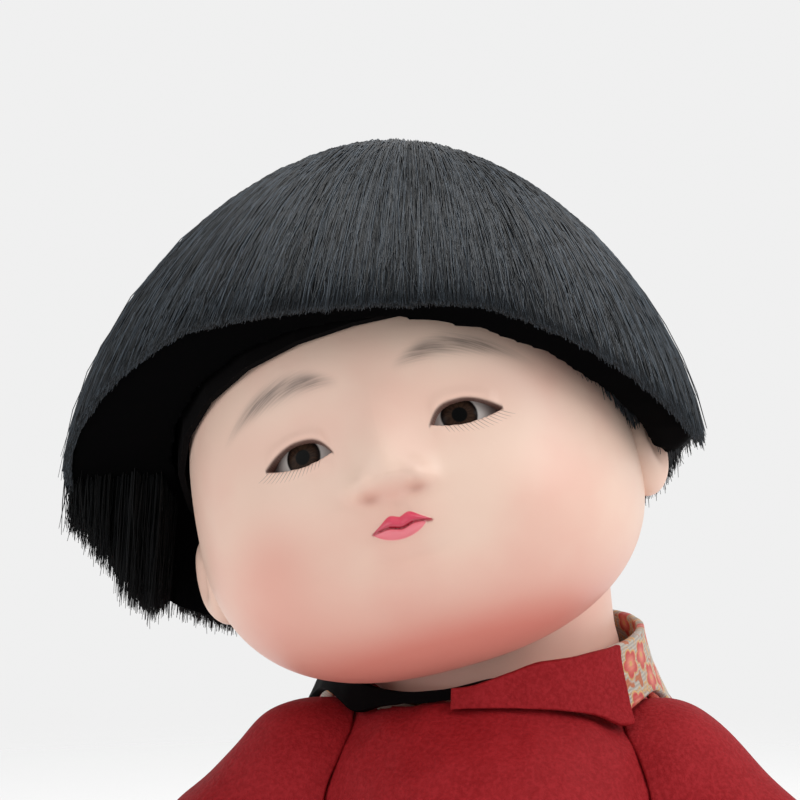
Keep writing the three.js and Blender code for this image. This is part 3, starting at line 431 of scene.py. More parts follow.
def moulding(x, z):
    """How far nose, mouth, chin, cheeks and sockets stand out of the plain face."""
    side = np.abs(x)
    over = z - NOSE_LEVEL
    tip = over + 1.2
    nose = 4.0 * bell(x / (4.3 - 0.3 * np.tanh(over / 2))) * bell(tip / np.where(tip > 0, 5.6, 2.1))
    wings = 2.2 * bell((side - 5.4) / 1.7) * bell((over + 2.9) / np.where(over > -2.9, 2.3, 1.05))
    nostrils = -0.8 * bell((side - 3.8) / 1.2) * bell((over + 4.5) / 0.7)
    bridge = 1.2 * bell(x / 4) * bell((over - 8) / 6)
    groove = -0.45 * bell(x / 1.0) * bell((z + 13.6) / 1.3)
    muzzle = 1.1 * bell(x / 6.5) * bell((z - MOUTH_LEVEL) / 3.4)
    under = -0.9 * bell(x / 4.6) * bell((z - MOUTH_LEVEL + 5.0) / 1.5)
    chin = 1.8 * bell(x / 9) * bell((z - CHIN_LEVEL) / 4)
    sockets = -1.6 * bell((side - EYE_SPREAD) / 8) * bell((z - 1) / 5)
    cheeks = 2.0 * bell((side - 25) / 10) * bell((z - MOUTH_LEVEL) / 10)
    line, top, foot, end = mouth_line(x)
    height = z - MOUTH_LEVEL
    upper = np.clip((height - line) / np.maximum(top - line, 0.05), 0, 1)
    lower = np.clip((line - height) / np.maximum(line - foot, 0.05), 0, 1)
    lips = 1.9 * upper**0.4 * (1 - upper) + 2.4 * lower**0.4 * (1 - lower) ** 0.8
    lips = end**0.5 * (lips - 0.2 * bell((height - line) / 0.2))
    return nose + wings + nostrils + bridge + groove + muzzle + under + chin + sockets + cheeks + lips


def eye_opening(x, z):
    """Across the eye from its middle, over its upper edge, under its lower, and the depth inside both."""
    across = (np.abs(x) - EYE_SPREAD) / 0.96
    z = z - EYE_LEVEL - EYE_TILT * across
    share = np.clip(across / EYE_HALF, -1.4, 1.4)
    bent = share + 0.13 * (1 - share**2)
    upper = UPPER_LID * (1 - np.abs(bent) ** np.where(bent < 0, 2.9, 2.1))
    lower = -LOWER_LID * (1 - share**2) - 0.25 * share
    ends = 1 + 0.35 * (share / 0.7) ** 2
    inside = np.minimum((upper - z) / ends, (z - lower) / ends)
    inside = np.minimum(inside, (EYE_HALF - np.abs(across)) * 0.5)
    return across, z - upper, lower - z, inside


def face_depth(x, z):
    """Distance of the plain face, without lids, in front of the head's middle."""
    width = outline(z, CHEEK_LEVEL, HALF_WIDTH, JOWL_ROUND, SKULL_ROUND)
    front = outline(z, FACE_LEVEL, FACE_DEPTH, MUZZLE_ROUND, SKULL_ROUND)
    return front * (1 - (np.abs(x) / width) ** PLAN_ROUND) ** (1 / PLAN_ROUND) + moulding(x, z)


def eye_axes(side):
    """The turn of one eye on the face, and the place of its middle on the surface."""
    ends = face_depth(np.array([EYE_SPREAD - 0.5, EYE_SPREAD, EYE_SPREAD + 0.5]), np.full(3, EYE_LEVEL))
    axes = turn("Z", side * math.degrees(math.atan(ends[0] - ends[2])))
    return axes, np.array((side * EYE_SPREAD, -ends[1], EYE_LEVEL))


def skin_finish(name, settings, glow=0.0):
    """Satin paint over a white ground, warm and faintly uneven, with a share of blush."""
    skin = Finish(name, roughness=0.42, specular_ior_level=0.4)
    where = skin.node("ShaderNodeTexCoord", output=3)
    cloud = skin.noise(where, 45.0, 3.0)
    ground = tuple(a + (b - a) * glow for a, b in zip(settings.skin, settings.blush))
    flush = tuple(0.86 * c if i else 0.97 * c for i, c in enumerate(ground))
    colour = cloud.step(0.35, 0.75).mix(ground, flush)
    skin.feed(base_color=colour)
    return skin, where, colour


def face_finish(settings):
    """The head's paint: blush, lips, lid edges, feathered brows and fine lashes, with painted shade under
    the jaw and the nose and in the nostrils.
    """
    skin, where, colour = skin_finish("painted_face", settings)
    x, _, z = skin.place("face")
    across, over, under = skin.place("eye")
    upper, lower, seam = skin.place("lips")
    side = abs(x)
    deep = tuple(settings.blush)
    cheeks = (side - 25.0).bell(8.5) * (z + 20.0).bell(7.5) * x.step(8.0, -8.0) * 0.42
    cheeks = cheeks + (side - 26.0).bell(7.5) * (z + 16.5).bell(7.0) * 0.16
    # Jaw: a flush that deepens towards the underside of the chin, partly painted blush and partly painted
    # shade under the chin.
    jaw = (-z).step(19.0, 40.0) * 0.76 + (-z).step(30.0, 39.0) * 0.3
    # A warm flush just below the nose tip: painted shade under the nose.
    nose = x.bell(5.5) * (z - NOSE_LEVEL + 4.4).bell(1.3) * 0.22
    lids = (side - EYE_SPREAD).bell(8.0) * (z - 3.5).bell(3.5) * 0.2
    lip_glow = x.bell(6.0) * (z - MOUTH_LEVEL).bell(4.0) * 0.25
    temple = (side - 30.0).bell(7.0) * (z - 6.0).bell(7.0) * 0.12
    flush = (cheeks + jaw + nose + lids + lip_glow + temple).least(0.95)
    colour = flush.mix(colour, deep)

    # Feathered brows: soft paint along an arch, with fine strokes in it.
    off = z - (13.0 - (side - 14.0) * (side - 14.0) * 0.026)
    width = 0.6 + (side - 16.0).bell(6.0) * 0.7
    strokes = skin.noise(skin.vector(off * 3.0 + side * 0.7, side * 0.16), 1.0, 3.0)
    body = (off / width).bell() * (side - 4.2).step(0.0, 6.5) * (30.0 - side).step(0.0, 10.0)
    brow = body * (0.55 + strokes.step(0.3, 0.68) * 0.45) * 0.8
    colour = brow.mix(colour, tuple(settings.brow))

    # Fine lashes painted under each lower lid, leaning outwards.
    root = across - under * (0.7 + across * 0.05)
    spread = abs((root / LASH_STEP).part() - 0.5) * LASH_STEP
    span = 1.5 + across.step(-4.0, 5.5) * 0.9
    thin = (1.0 - under / span).most(0.0) * 0.07 + 0.02
    lash = (thin - spread).step(-0.05, 0.05) * under.step(0.0, 0.25) * (span - under).step(0.0, 0.4)
    lash = lash * (root + 4.6).step(0.0, 0.5) * (7.0 - root).step(0.0, 0.5) * 0.62
    colour = lash.mix(colour, tuple(settings.brow))

    # Lid edges: a thin brown line along the upper lid and a faint one along the lower.
    inside = skin.node("ShaderNodeAttribute", output=2, attribute_name="lid")
    reach = (EYE_HALF + 0.4 - abs(across)).step(0.0, 0.3)
    line = inside.bell(0.2) * over.step(-0.8, 0.1) * reach * 0.85
    rim = inside.step(-0.12, 0.1) * reach
    colour = (rim * 0.8).mix(colour, (0.30, 0.14, 0.11))
    colour = line.mix(colour, (0.085, 0.045, 0.038))

    lip = upper.most(lower)
    mask = lip.step(-0.14, 0.16)
    lip_colour = (lower - upper).step(-0.3, 0.9).mix(tuple(settings.lips), tuple(settings.lower_lip))
    colour = mask.mix(colour, lip_colour)
    parting = seam.bell(0.2) * 0.85 + seam.bell(0.7) * upper.step(0.0, 0.1) * 0.4
    colour = parting.mix(colour, (0.36, 0.008, 0.025))
    # Pinkish brown in the nostrils: painted shade in their pits.
    nostril_shade = (side - 4.4).bell(1.1) * (z - NOSE_LEVEL + 4.5).bell(0.5)
    colour = (nostril_shade * 0.4).mix(colour, (0.42, 0.16, 0.12))
    skin.feed(base_color=colour, roughness=0.42 - mask * 0.24, coat_weight=mask * 0.7, coat_roughness=0.12)
    skin.bump(skin.noise(where, 900.0, 2.0), 0.00004, 0.4)
    return skin


def head_shell(settings):
    """The moulded head in one skin, with finer rows and columns at eyes, nose and mouth."""
    obj, ball = unit_ball("head_shell", settings.columns, settings.rows)
    height = CROWN_RISE + CHIN_DROP

    def level(share):
        return -CHIN_DROP + height * (1 - np.cos(math.pi * share)) / 2

    column = (np.arctan2(ball[:, 0], -ball[:, 1]) + math.pi) / (2 * math.pi)
    row = 1 - np.arccos(np.clip(ball[:, 2], -1, 1)) / math.pi
    column = crowded(column, lambda q: 1 + 4.5 * np.exp(-((np.abs(q - 0.5) * 2 * math.pi / 0.64) ** 6)))
    row = crowded(row, lambda q: 1 + 3.5 * np.exp(-(((level(q) + 8.5) / 17) ** 6)))
    angle, z = (column - 0.5) * 2 * math.pi, level(row)
    sine, cosine = np.sin(angle), np.cos(angle)
    width = outline(z, CHEEK_LEVEL, HALF_WIDTH, JOWL_ROUND, SKULL_ROUND)
    front = outline(z, FACE_LEVEL, FACE_DEPTH, MUZZLE_ROUND, SKULL_ROUND)
    back = outline(z, NAPE_LEVEL, NAPE_DEPTH, NAPE_ROUND, SKULL_ROUND)
    depth = np.where(cosine > 0, front, back)
    radius = (np.abs(sine) / width) ** PLAN_ROUND + (np.abs(cosine) / depth) ** PLAN_ROUND
    radius = radius ** (-1 / PLAN_ROUND)
    x, y = radius * sine, -radius * cosine - np.where(z < 0, CHIN_REACH * (z / CHIN_DROP) ** 2, 0)
    across, over, under, inside = eye_opening(x, z)
    near = (np.abs(across) < EYE_HALF + 3) & (cosine > 0)
    roll = settings.lid_roll / MM
    lids = roll * bell((inside + 0.8) / 0.8) * rise(over, -0.5, 0.3)
    lids += 0.5 * roll * bell((inside + 0.6) / 0.7) * rise(under, -0.5, 0.3)
    lids *= rise(EYE_HALF + 0.3 - np.abs(across), 0, 2.2)
    pit = -8.0 * rise(inside, -0.02, 0.42)
    y = y - (moulding(x, z) + np.where(near, lids + pit, 0)) * np.maximum(0, cosine)
    move(obj, in_head(np.stack([x, y, z], 1)))
    line, top, foot, _ = mouth_line(x)
    mouth = z - MOUTH_LEVEL
    beyond = np.maximum(0, np.abs(x) - MOUTH_HALF + 0.2)
    upper = np.where(cosine > 0, np.minimum(mouth - line, top - mouth) - beyond, -9)
    lower = np.where(cosine > 0, np.minimum(line - mouth, mouth - foot) - beyond, -9)
    note(obj, "face", np.stack([x, y, z], 1))
    note(obj, "eye", np.stack([np.where(cosine > 0, across, 90), over, under], 1))
    note(obj, "lid", np.where(near, inside, -9))
    seam = np.where(cosine > 0, np.abs(mouth - line) + beyond, 9)
    note(obj, "lips", np.stack([upper, lower, seam], 1))
    obj.data.uv_layers[0].name = "OFBake"
    return obj


def ear(side):
    """One ear: a leaning lobe with its hollow turned outwards."""
    obj, ball = unit_ball(f"{SIDES[side]}_ear_skin", 64, 40)
    out = ball[:, 0] * side
    hollow = np.exp(-(((ball[:, 1] + 0.15) / 0.42) ** 2) - ((ball[:, 2] - 0.12) / 0.5) ** 2)
    ridge = np.exp(-(((ball[:, 1] - 0.1) / 0.18) ** 2) - ((ball[:, 2] - 0.1) / 0.4) ** 2)
    ball[:, 0] -= side * (0.55 * hollow - 0.22 * ridge) * np.clip(out, 0, 1)
    ball = ball * EAR_HALF @ (turn("X", 8) @ turn("Z", side * -18)).T
    height = EAR_LEVEL + side * EAR_SLOPE
    width = outline(np.array(height), CHEEK_LEVEL, HALF_WIDTH, JOWL_ROUND, SKULL_ROUND)
    move(obj, in_head(ball + (side * (width - 0.6 + 0.8 * side), EAR_BACK, height)))
    return obj


class HeadSettings(bpy.types.PropertyGroup):
    """What a user may change on the head."""

    columns: IntProperty(name="Columns", description="Faces round the head", default=336, min=48)
    rows: IntProperty(name="Rows", description="Faces from chin to crown", default=268, min=32)
    lid_roll: length_setting("Lid Roll", "How far the lids stand out", 0.0005)
    skin: colour_setting("Skin", "Ground colour of the skin", (0.82, 0.61, 0.495))
    # Blush is also the colour of the painted shade under the jaw and the nose.
    blush: colour_setting("Blush", "Colour of cheeks and jaw", (0.68, 0.235, 0.185))
    lips: colour_setting("Upper Lip", "Colour of the upper lip", (0.70, 0.06, 0.12))
    lower_lip: colour_setting("Lower Lip", "Colour of the lower lip", (0.78, 0.17, 0.21))
    brow: colour_setting("Brow", "Colour of brows and lashes", (0.09, 0.077, 0.07))


class DOLL_OT_head(bpy.types.Operator):
    """Build the painted head and its ears"""

    bl_idname = "doll.head"
    bl_label = "Head"

    def execute(self, context):
        settings = context.scene.doll_head
        head = head_shell(settings)
        dressed(head, face_finish(settings), "head", "shell_white", "face_half", "head_back_half")
        lobe = skin_finish("ear_skin", settings)[0]
        for side in SIDES:
            dressed(ear(side), lobe, "head", "shell_white")
        return {"FINISHED"}


# Eyes


def eye_finish(settings):
    """Clear glass over a dark brown iris and a grey-white ground, with painted shade darkening the ground
    towards the corners.
    """
    glass = Finish("eye_glass", roughness=0.1, specular_ior_level=0.06)
    x, _, z = glass.place("gaze")
    radius = (x * x + z * z) ** 0.5
    turned = glass.node("ShaderNodeMath", enumerate((z, x)), operation="ARCTAN2")
    rays = glass.noise(glass.vector(turned * 5.0, radius * 0.5), 1.6, 3.0)
    iris = rays.step(0.3, 0.75).mix(tuple(settings.iris), (0.042, 0.023, 0.014))
    size = settings.iris_radius / MM
    iris = radius.step(size - 1.0, size - 0.1).mix(iris, (0.006, 0.004, 0.004))
    # The white darkens towards the eye's corners: painted shade.
    white = abs(x).step(2.5, 7.0).mix((0.52, 0.49, 0.47), (0.30, 0.26, 0.25))
    colour = radius.step(size - 0.15, size + 0.2).mix(iris, white)
    pupil = radius.step(1.25, 1.55)
    glass.feed(base_color=pupil.mix((0.002, 0.002, 0.002), colour))
    return glass


def glass_eye(side, settings):
    """One glass eye in its socket, looking a little inwards and up."""
    obj, ball = unit_ball(f"{SIDES[side]}_eye_ball", 96, 64)
    ball = ball * EYE_RADIUS
    axes, middle = eye_axes(side)
    gaze = np.array((side * settings.gaze_in - settings.gaze_aside, 0.0, -settings.gaze_up))
    note(obj, "gaze", ball + gaze / MM)
    ball = ball + (0, EYE_SINK + EYE_RADIUS, 0)
    move(obj, in_head(ball @ axes.T + middle))
    return obj


class EyeSettings(bpy.types.PropertyGroup):
    """What a user may change on the eyes."""

    iris: colour_setting("Iris", "Colour of the iris", (0.02, 0.011, 0.008))
    iris_radius: length_setting("Iris Radius", "Radius of the iris", 0.0033)
    gaze_in: length_setting("Gaze In", "How far the iris sits inwards", 0.00055)
    gaze_aside: length_setting("Gaze Aside", "How far both irises sit to the left", -0.00025)
    gaze_up: length_setting("Gaze Up", "How far the iris sits upwards", 0.0009)


class DOLL_OT_eyes(bpy.types.Operator):
    """Build the glass eyes"""

    bl_idname = "doll.eyes"
    bl_label = "Eyes"

    def execute(self, context):
        settings = context.scene.doll_eyes
        finish = eye_finish(settings)
        for side, name in SIDES.items():
            dressed(glass_eye(side, settings), finish, "head", "eye_glass", f"{name}_glass_eye")
        return {"FINISHED"}


# Hair


def hair_surface(angle, z, inset):
    """A place on the dome of hair, by its angle from the front and its height."""
    reach = np.clip((z - HAIR_BRIM) / (HAIR_TOP - HAIR_BRIM), 0, 1)
    size = np.maximum(1e-9, 1 - reach**HAIR_ROUND) ** (1 / HAIR_ROUND)
    low = -BOB_DROP - HAIR_HALF / 2
    flare = HAIR_FLARE * np.maximum(0, (HAIR_BRIM - z) / (HAIR_BRIM - low))
    width = (HAIR_HALF + flare - inset) * size
    follow = np.maximum(0, z) * math.sin(math.radians(HEAD_LIFT)) * 0.6
    angle, width, follow, size, top = np.broadcast_arrays(angle, width, follow, size, z - inset * reach)
    return np.stack(
        [width * np.sin(angle) - HAIR_SHIFT, follow - (HAIR_DEPTH - inset) * size * np.cos(angle), top], -1
    )


def hair_cut(points):
    """Whether a place in the hair's frame is cut away: the face opening, the bob and its corners."""
    turned = points @ turn("Y", -HEAD_LEAN / 3)
    ahead, up = -turned[..., 1], turned[..., 2]
    slope = np.clip((ahead - FRINGE_BACK) / (HAIR_DEPTH - FRINGE_BACK), 0, 1)
    share = np.linspace(0, 1, 60)
    arc_x = FRINGE_BACK * (1 - share) ** 2 + 2 * TEMPLE_REACH * share * (1 - share) + EAR_LINE * share**2
    arc_z = FRINGE_LEVEL * (1 - share) ** 2 + 2 * TEMPLE_LEVEL * share * (1 - share) + EAR_TOP * share**2
    edge = np.where(
        ahead > FRINGE_BACK, FRINGE_LEVEL + FRINGE_STEP * slope, np.interp(ahead, arc_x[::-1], arc_z[::-1])
    )
    lean = math.tan(math.radians(BOB_LEAN))
    gone = ((ahead > EAR_LINE) & (up < edge)) | (points[..., 2] < points[..., 0] * lean - BOB_DROP)
    gone |= (points[..., 0] < -BOB_FLAT) & (points[..., 2] < np.interp(-points[..., 0], *LEFT_BOB))
    for side in SIDES:
        x = side * HAIR_HALF - HAIR_SHIFT
        gone |= side * (x - points[..., 0]) + points[..., 2] - (x * lean - BOB_DROP + BOB_CORNER) < 0
    return gone


def strand_shell(inset):
    """Places along lines over the dome from the whorl to the cut, and how long each line is."""
    angle = np.linspace(-math.pi, math.pi, STRAND_LINES, endpoint=False)
    rim = np.stack([np.sin(angle), -np.cos(angle)], 1)[:, None, :]
    share = np.sin(np.linspace(0, 1, 220) * math.pi / 2)[None, :, None]
    plan = np.array((0.0, WHORL_BACK)) * (1 - share) + rim * share
    size = np.minimum(1.0, np.linalg.norm(plan, axis=2))
    reach = np.maximum(0, 1 - size**HAIR_ROUND) ** (1 / HAIR_ROUND)
    dome = HAIR_BRIM + reach * (HAIR_TOP - HAIR_BRIM)
    wall = np.broadcast_to(HAIR_BRIM - np.linspace(0.2, BOB_DROP + 34, 240), (STRAND_LINES, 240))
    turned = np.concatenate([np.arctan2(plan[..., 0], -plan[..., 1]), np.repeat(angle[:, None], 240, 1)], 1)
    shell = hair_surface(turned, np.concatenate([dome, wall], 1), inset)
    gone = hair_cut(shell)
    gone[:, :60] = False
    first = np.where(gone.any(1), gone.argmax(1), shell.shape[1] - 1)
    length = np.linalg.norm(np.diff(shell, axis=1), axis=2).cumsum(1)
    length = np.concatenate([np.zeros((STRAND_LINES, 1)), length], 1)
    return shell, length, length[np.arange(STRAND_LINES), first]


def swaying(draw, share, count, size, slow, fast):
    """How far each strand wanders sideways along its length, in waves between two speeds."""
    return draw.normal(0, size, (count, 1)) * np.sin(share * draw.uniform(slow, fast, (count, 1)))


def strand_paths(draw, count, steps, inset, settings):
    """Places along strands from the whorl to the cut, or along the last of that way under the top layer."""
    shell, length, ends = strand_shell(inset)
    line = draw.integers(0, STRAND_LINES, count)
    full = ends[line]
    tip = shell[line, (length[line] < full[:, None]).sum(1) - 1]
    fringe = tip[:, 1] < FRINGE_SIDE
    ragged = settings.ragged / MM * np.where(fringe, 0.35, 1.6)
    if inset:
        start, full = full - draw.uniform(9, 20, count), full - np.where(fringe, 4.5, 0.4)
    else:
        start = full * draw.uniform(0.0, 0.86, count)
    stop = full + draw.normal(0, ragged, count)
    stop = np.where(tip[:, 1] > NAPE_START, np.minimum(stop, full - NAPE_TRIM), stop)
    share = np.linspace(0, 1, steps)
    along = start[:, None] + (stop - start)[:, None] * share
    paths = np.stack(
        [[np.interp(a, length[k], shell[k, :, i]) for i in range(3)] for a, k in zip(along, line)]
    ).transpose(0, 2, 1)
    across, lift = strand_sides(paths)
    sway = swaying(draw, share, count, settings.sway / MM, 1.5, 4.5)
    sway += swaying(draw, share, count, settings.sway / MM * 0.35, 5, 11)
    sway += draw.uniform(-0.2, 0.2, (count, 1))
    rooted = 1.6 * np.clip(1 - share / 0.12, 0, 1) * (start[:, None] > 4)
    sink = draw.uniform(-0.1, 1.3, (count, 1)) + rooted
    if inset:
        deep, level = draw.uniform(0.9, 2.5, (count, 1)), draw.uniform(-1.5, 1.5, (count, 1))
        sink = np.where(fringe[:, None], deep, level) + 0 * share
    loose = draw.uniform(size=(count, 1)) < settings.flyaways
    sink = sink - loose * draw.uniform(0.3, 1.5, (count, 1)) * share
    return paths + sway[..., None] * across - sink[..., None] * lift


def curtain_paths(draw, count, steps, settings):
    """Places along the strands that hang down beside the face to the end of the bob."""
    side = np.where(draw.uniform(size=count) < CURTAIN_LEFT_SHARE, -1, 1)[:, None]
    inset = draw.uniform(0.4, np.where(side < 0, CURTAIN_WIDTH * 1.7, CURTAIN_WIDTH), (count, 1))
    deep = CURTAIN_DEPTH * draw.beta(1.0, 1.8, (count, 1))
    ahead = np.where((side > 0) | (inset > CURTAIN_WIDTH), BEHIND_EAR - 0.6 * deep, EAR_LINE - 1 + deep)
    share = np.linspace(0, 1, steps)[None, :]
    reach = HAIR_HALF + side * -HAIR_SHIFT - inset
    foot = np.where(side < 0, np.interp(reach, *LEFT_BOB), np.interp(reach, *RIGHT_BOB))
    foot = foot + draw.normal(0, settings.ragged * 1.8 / MM, (count, 1))
    top = np.maximum(foot + 9, EAR_TOP + 6) + draw.uniform(0, 9, (count, 1))
    z = top + (foot - top) * share
    flare = HAIR_FLARE * np.maximum(0, (HAIR_BRIM - z) / (BOB_DROP + HAIR_HALF / 2))
    up = np.clip((z - HAIR_BRIM) / (HAIR_TOP - HAIR_BRIM), 0, 1)
    round_off = np.sqrt(1 - (ahead / HAIR_DEPTH) ** 2) * (1 - up**HAIR_ROUND) ** (1 / HAIR_ROUND)
    sway = swaying(draw, share, count, settings.sway / MM, 1.5, 4.5)
    x = side * (HAIR_HALF + flare - inset) * round_off - HAIR_SHIFT + 0.5 * sway
    return np.stack(np.broadcast_arrays(x, -ahead + sway, z), -1)


def strand_sides(paths):
    """Directions across each strand and away from the head."""
    ahead = np.gradient(paths, axis=1)
    ahead /= np.maximum(np.linalg.norm(ahead, axis=2, keepdims=True), 1e-9)
    across = np.cross(ahead, paths - np.array((-HAIR_SHIFT, 6.0, 0.0)))
    across /= np.maximum(np.linalg.norm(across, axis=2, keepdims=True), 1e-9)
    return across, np.cross(across, ahead)


def strand_piece(name, paths, radius):
    """Three-sided strands along many paths, as one piece with closed ends."""
    count, steps, _ = paths.shape
    across, lift = strand_sides(paths)
    taper = np.interp(np.linspace(0, 1, steps), [0, 0.12, 0.8, 1], [0.25, 1.0, 0.9, 0.4])[None, :, None]
    rings = [
        paths + radius * taper * (math.cos(a) * across + math.sin(a) * lift)
        for a in (math.pi / 2, math.pi * 7 / 6, math.pi * 11 / 6)
    ]
    points = np.stack(rings, 2).reshape(-1, 3)
    base = (np.arange(count) * steps * 3)[:, None, None]
    step = (np.arange(steps - 1) * 3)[None, :, None]
    quads = [(k, (k + 1) % 3, 3 + (k + 1) % 3, 3 + k) for k in range(3)]
    faces = np.concatenate([(base + step + np.array(q)[None, None, :]).reshape(-1, 4) for q in quads])
    caps = [(base[:, 0] + np.array((2, 1, 0))), (base[:, 0] + (steps - 1) * 3 + np.array((0, 1, 2)))]
    obj = built(name, points @ HAIR_AXES.T + HEAD, faces.tolist() + np.concatenate(caps).tolist())
    made = bmesh.new()
    made.from_mesh(obj.data)
    bmesh.ops.recalc_face_normals(made, faces=made.faces)
    made.to_mesh(obj.data)
    made.free()
    return obj


def hair_mass():
    """The dark mass under the strands, drawn back from their ends at the sides of the bob."""
    mass = remeshed(copied("hair_mass", *HAIR_ROWS), 1.0, 6)
    move(mass, points_of(mass) - 0.7 * normals_of(mass))
    places = (points_of(mass) - HEAD) @ HAIR_AXES
    x, y, z = places.T
    z = np.where(x < -BOB_FLAT, np.maximum(z, np.interp(-x, *LEFT_BOB) + 0.3), z)
    edge = HAIR_HALF - HAIR_SHIFT
    slant = x - edge + edge * math.tan(math.radians(BOB_LEAN)) - BOB_DROP + BOB_CORNER
    z = np.where(y > -EAR_LINE - 2, np.maximum(z, slant + BOB_HOLLOW), z)
    move(mass, np.stack([x, y, z], 1) @ HAIR_AXES.T + HEAD)
    return thinned(mass, KEPT_MASS)


def hair_finish(name, colour, roughness, gloss):
    return Finish(name, base_color=colour, roughness=roughness, specular_ior_level=gloss)


class HairSettings(bpy.types.PropertyGroup):
    """What a user may change on the hair."""

    strands: IntProperty(
        name="Strands", description="Strands in each of the five tones", default=4200, min=10
    )
    inner_strands: IntProperty(
        name="Inner Strands", description="Strands in each layer under the top", default=1700, min=10
    )
    radius: length_setting("Strand Radius", "Half a strand's thickness", 0.00013)
    sway: length_setting("Sway", "How far a strand wanders sideways", 0.0009)
    ragged: length_setting("Ragged", "How unevenly the ends are cut", 0.0007)
    flyaways: FloatProperty(
        name="Flyaways", description="Share of strands that stand off", default=0.008, subtype="FACTOR"
    )


class DOLL_OT_hair(bpy.types.Operator):
    """Build the mass of hair and the strands planted over it"""

    bl_idname = "doll.hair"
    bl_label = "Hair"

    def execute(self, context):
        settings = context.scene.doll_hair
        # The mass is black hair made blacker than any strand and nearly glossless: painted shade of the
        # hair's depth.
        core = hair_finish("hair_core_painted_shade", (0.0015, 0.0015, 0.0017), 0.7, 0.008)
        dressed(hair_mass(), core, "head", "hair", *HAIR_ROWS)
        draw = np.random.default_rng(SEED)
        radius, inner = settings.radius / MM, settings.inner_strands
        for k, tone in enumerate(STRAND_TONES, 1):
            lit = hair_finish(f"hair_tone_{k}", (tone, tone * 1.28, tone * 1.6), 0.36, 0.42)
            paths = strand_paths(draw, settings.strands, STRAND_STEPS, 0.0, settings)
            dressed(strand_piece(f"hair_strands_{k}", paths, radius), lit, "head", "hair")
            if k <= len(INNER_LAYERS):
                paths = strand_paths(draw, inner, INNER_STEPS, INNER_LAYERS[k - 1], settings)
                dressed(strand_piece(f"hair_underlayer_{k}", paths, radius), lit, "head", "hair")
                paths = curtain_paths(draw, inner, INNER_STEPS, settings)
                # The strands beside the face take darker copies of the strand tones: painted shade.
                dark = hair_finish(f"hair_painted_shade_{k}", (tone * 0.24, tone * 0.27, tone * 0.3), 0.45, 0.1)
                dressed(strand_piece(f"hair_curtain_{k}", paths, radius), dark, "head", "hair")
        return {"FINISHED"}


# Neck and limbs


def smoothed(profile, count):
    """A finer line through the points of a profile."""
    profile = np.asarray(profile, float)
    ends = np.concatenate([[2 * profile[0] - profile[1]], profile, [2 * profile[-1] - profile[-2]]])
    out = []
    for i in range(len(profile) - 1):
        a, b, c, d = ends[i : i + 4]
        for t in np.linspace(0, 1, count, endpoint=False):
            square, cube = 2 * a - 5 * b + 4 * c - d, 3 * b - a - 3 * c + d
            out.append(0.5 * (2 * b + (c - a) * t + square * t * t + cube * t**3))
    return np.array([*out, profile[-1]])


def lathe(name, loop, sides):
    """A closed loop of (radius, height) turned about the upright axis."""
    angle = np.arange(sides) * 2 * math.pi / sides
    loop = np.asarray(loop)
    points = np.stack(
        [
            loop[None, :, 0] * np.sin(angle)[:, None],
            -loop[None, :, 0] * np.cos(angle)[:, None],
            np.broadcast_to(loop[None, :, 1], (sides, len(loop))),
        ],
        -1,
    ).reshape(-1, 3)
    n = len(loop)
    faces = [
        (i * n + j, (i + 1) % sides * n + j, (i + 1) % sides * n + (j + 1) % n, i * n + (j + 1) % n)
        for i in range(sides)
        for j in range(n)
    ]
    return built(name, points, faces)


def neck_skin():
    """The plump neck that carries the head, bored for its dowel."""
    profile = smoothed([(9.8, -5.5), (14, -1), (23.6, 2), (25.4, 6), (24.2, 12), (23.2, 22), (23, 34)], 8)
    obj = lathe("neck_skin", [*profile, (7.4, 34), (7.4, -5.5)], 96)
    move(obj, points_of(obj) @ NECK_AXES.T + NECK)
    return obj


def plump(obj, settings, limit):
    """Blows a stuffed piece up a little, as its filling does, and keeps it near its own surface."""
    before = points_of(obj)
    cloth = obj.modifiers.new("Cloth", "CLOTH")
    cloth.settings.use_pressure = True
    cloth.settings.uniform_pressure_force = settings.pressure
    cloth.settings.effector_weights.gravity = 0
    cloth.settings.tension_stiffness = cloth.settings.compression_stiffness = 20
    for k in range(1, settings.frames + 1):
        bpy.context.scene.frame_set(k)
    choose(obj)
    bpy.ops.object.modifier_apply(modifier=cloth.name)
    bpy.context.scene.frame_set(1)
    shift = points_of(obj) - before
    size = np.linalg.norm(shift, axis=1, keepdims=True)
    move(obj, before + shift * np.minimum(1, limit / np.maximum(size, 1e-9)))
    return obj


class DOLL_OT_limbs(bpy.types.Operator):
    """Build the neck, hands, lower legs and stuffed limbs"""

    bl_idname = "doll.limbs"
    bl_label = "Neck and Limbs"

    def execute(self, context):
        skin = skin_finish("limb_skin", context.scene.doll_head)[0]
        cotton = Finish("stuffed_cotton", base_color=(0.72, 0.67, 0.57), roughness=0.9)
        cotton.bump(cotton.noise(cotton.node("ShaderNodeTexCoord", output=3), 1400.0, 2.0), 0.0001, 0.5)
        throat = skin_finish("throat_skin", context.scene.doll_head, 0.3)[0]
        dressed(neck_skin(), throat, "head", "shell_white", "neck")
        for side in SIDES.values():
            hand = remeshed(copied(f"{side}_hand_skin", f"{side}_hand"), 0.55, 9)
            dressed(hand, skin, f"{side}_arm", "shell_white", f"{side}_hand")
            leg = remeshed(copied(f"{side}_leg_skin", f"{side}_lower_leg"), 0.7, 10)
            thinned(leg, KEPT_LEG)
            dressed(leg, skin, f"{side}_leg", "shell_white", f"{side}_lower_leg")
            for part, body in (("upper_arm", "arm"), ("thigh", "leg")):
                stuffed = remeshed(copied(f"{side}_{part}_stuffing", f"{side}_{part}"), 1.6, 4)
                plump(stuffed, context.scene.doll_robe, 0.6)
                modify(stuffed, "SUBSURF", levels=1, render_levels=1)
                dressed(stuffed, cotton, f"{side}_{body}", "cotton", f"{side}_{part}")
        return {"FINISHED"}


# Robe


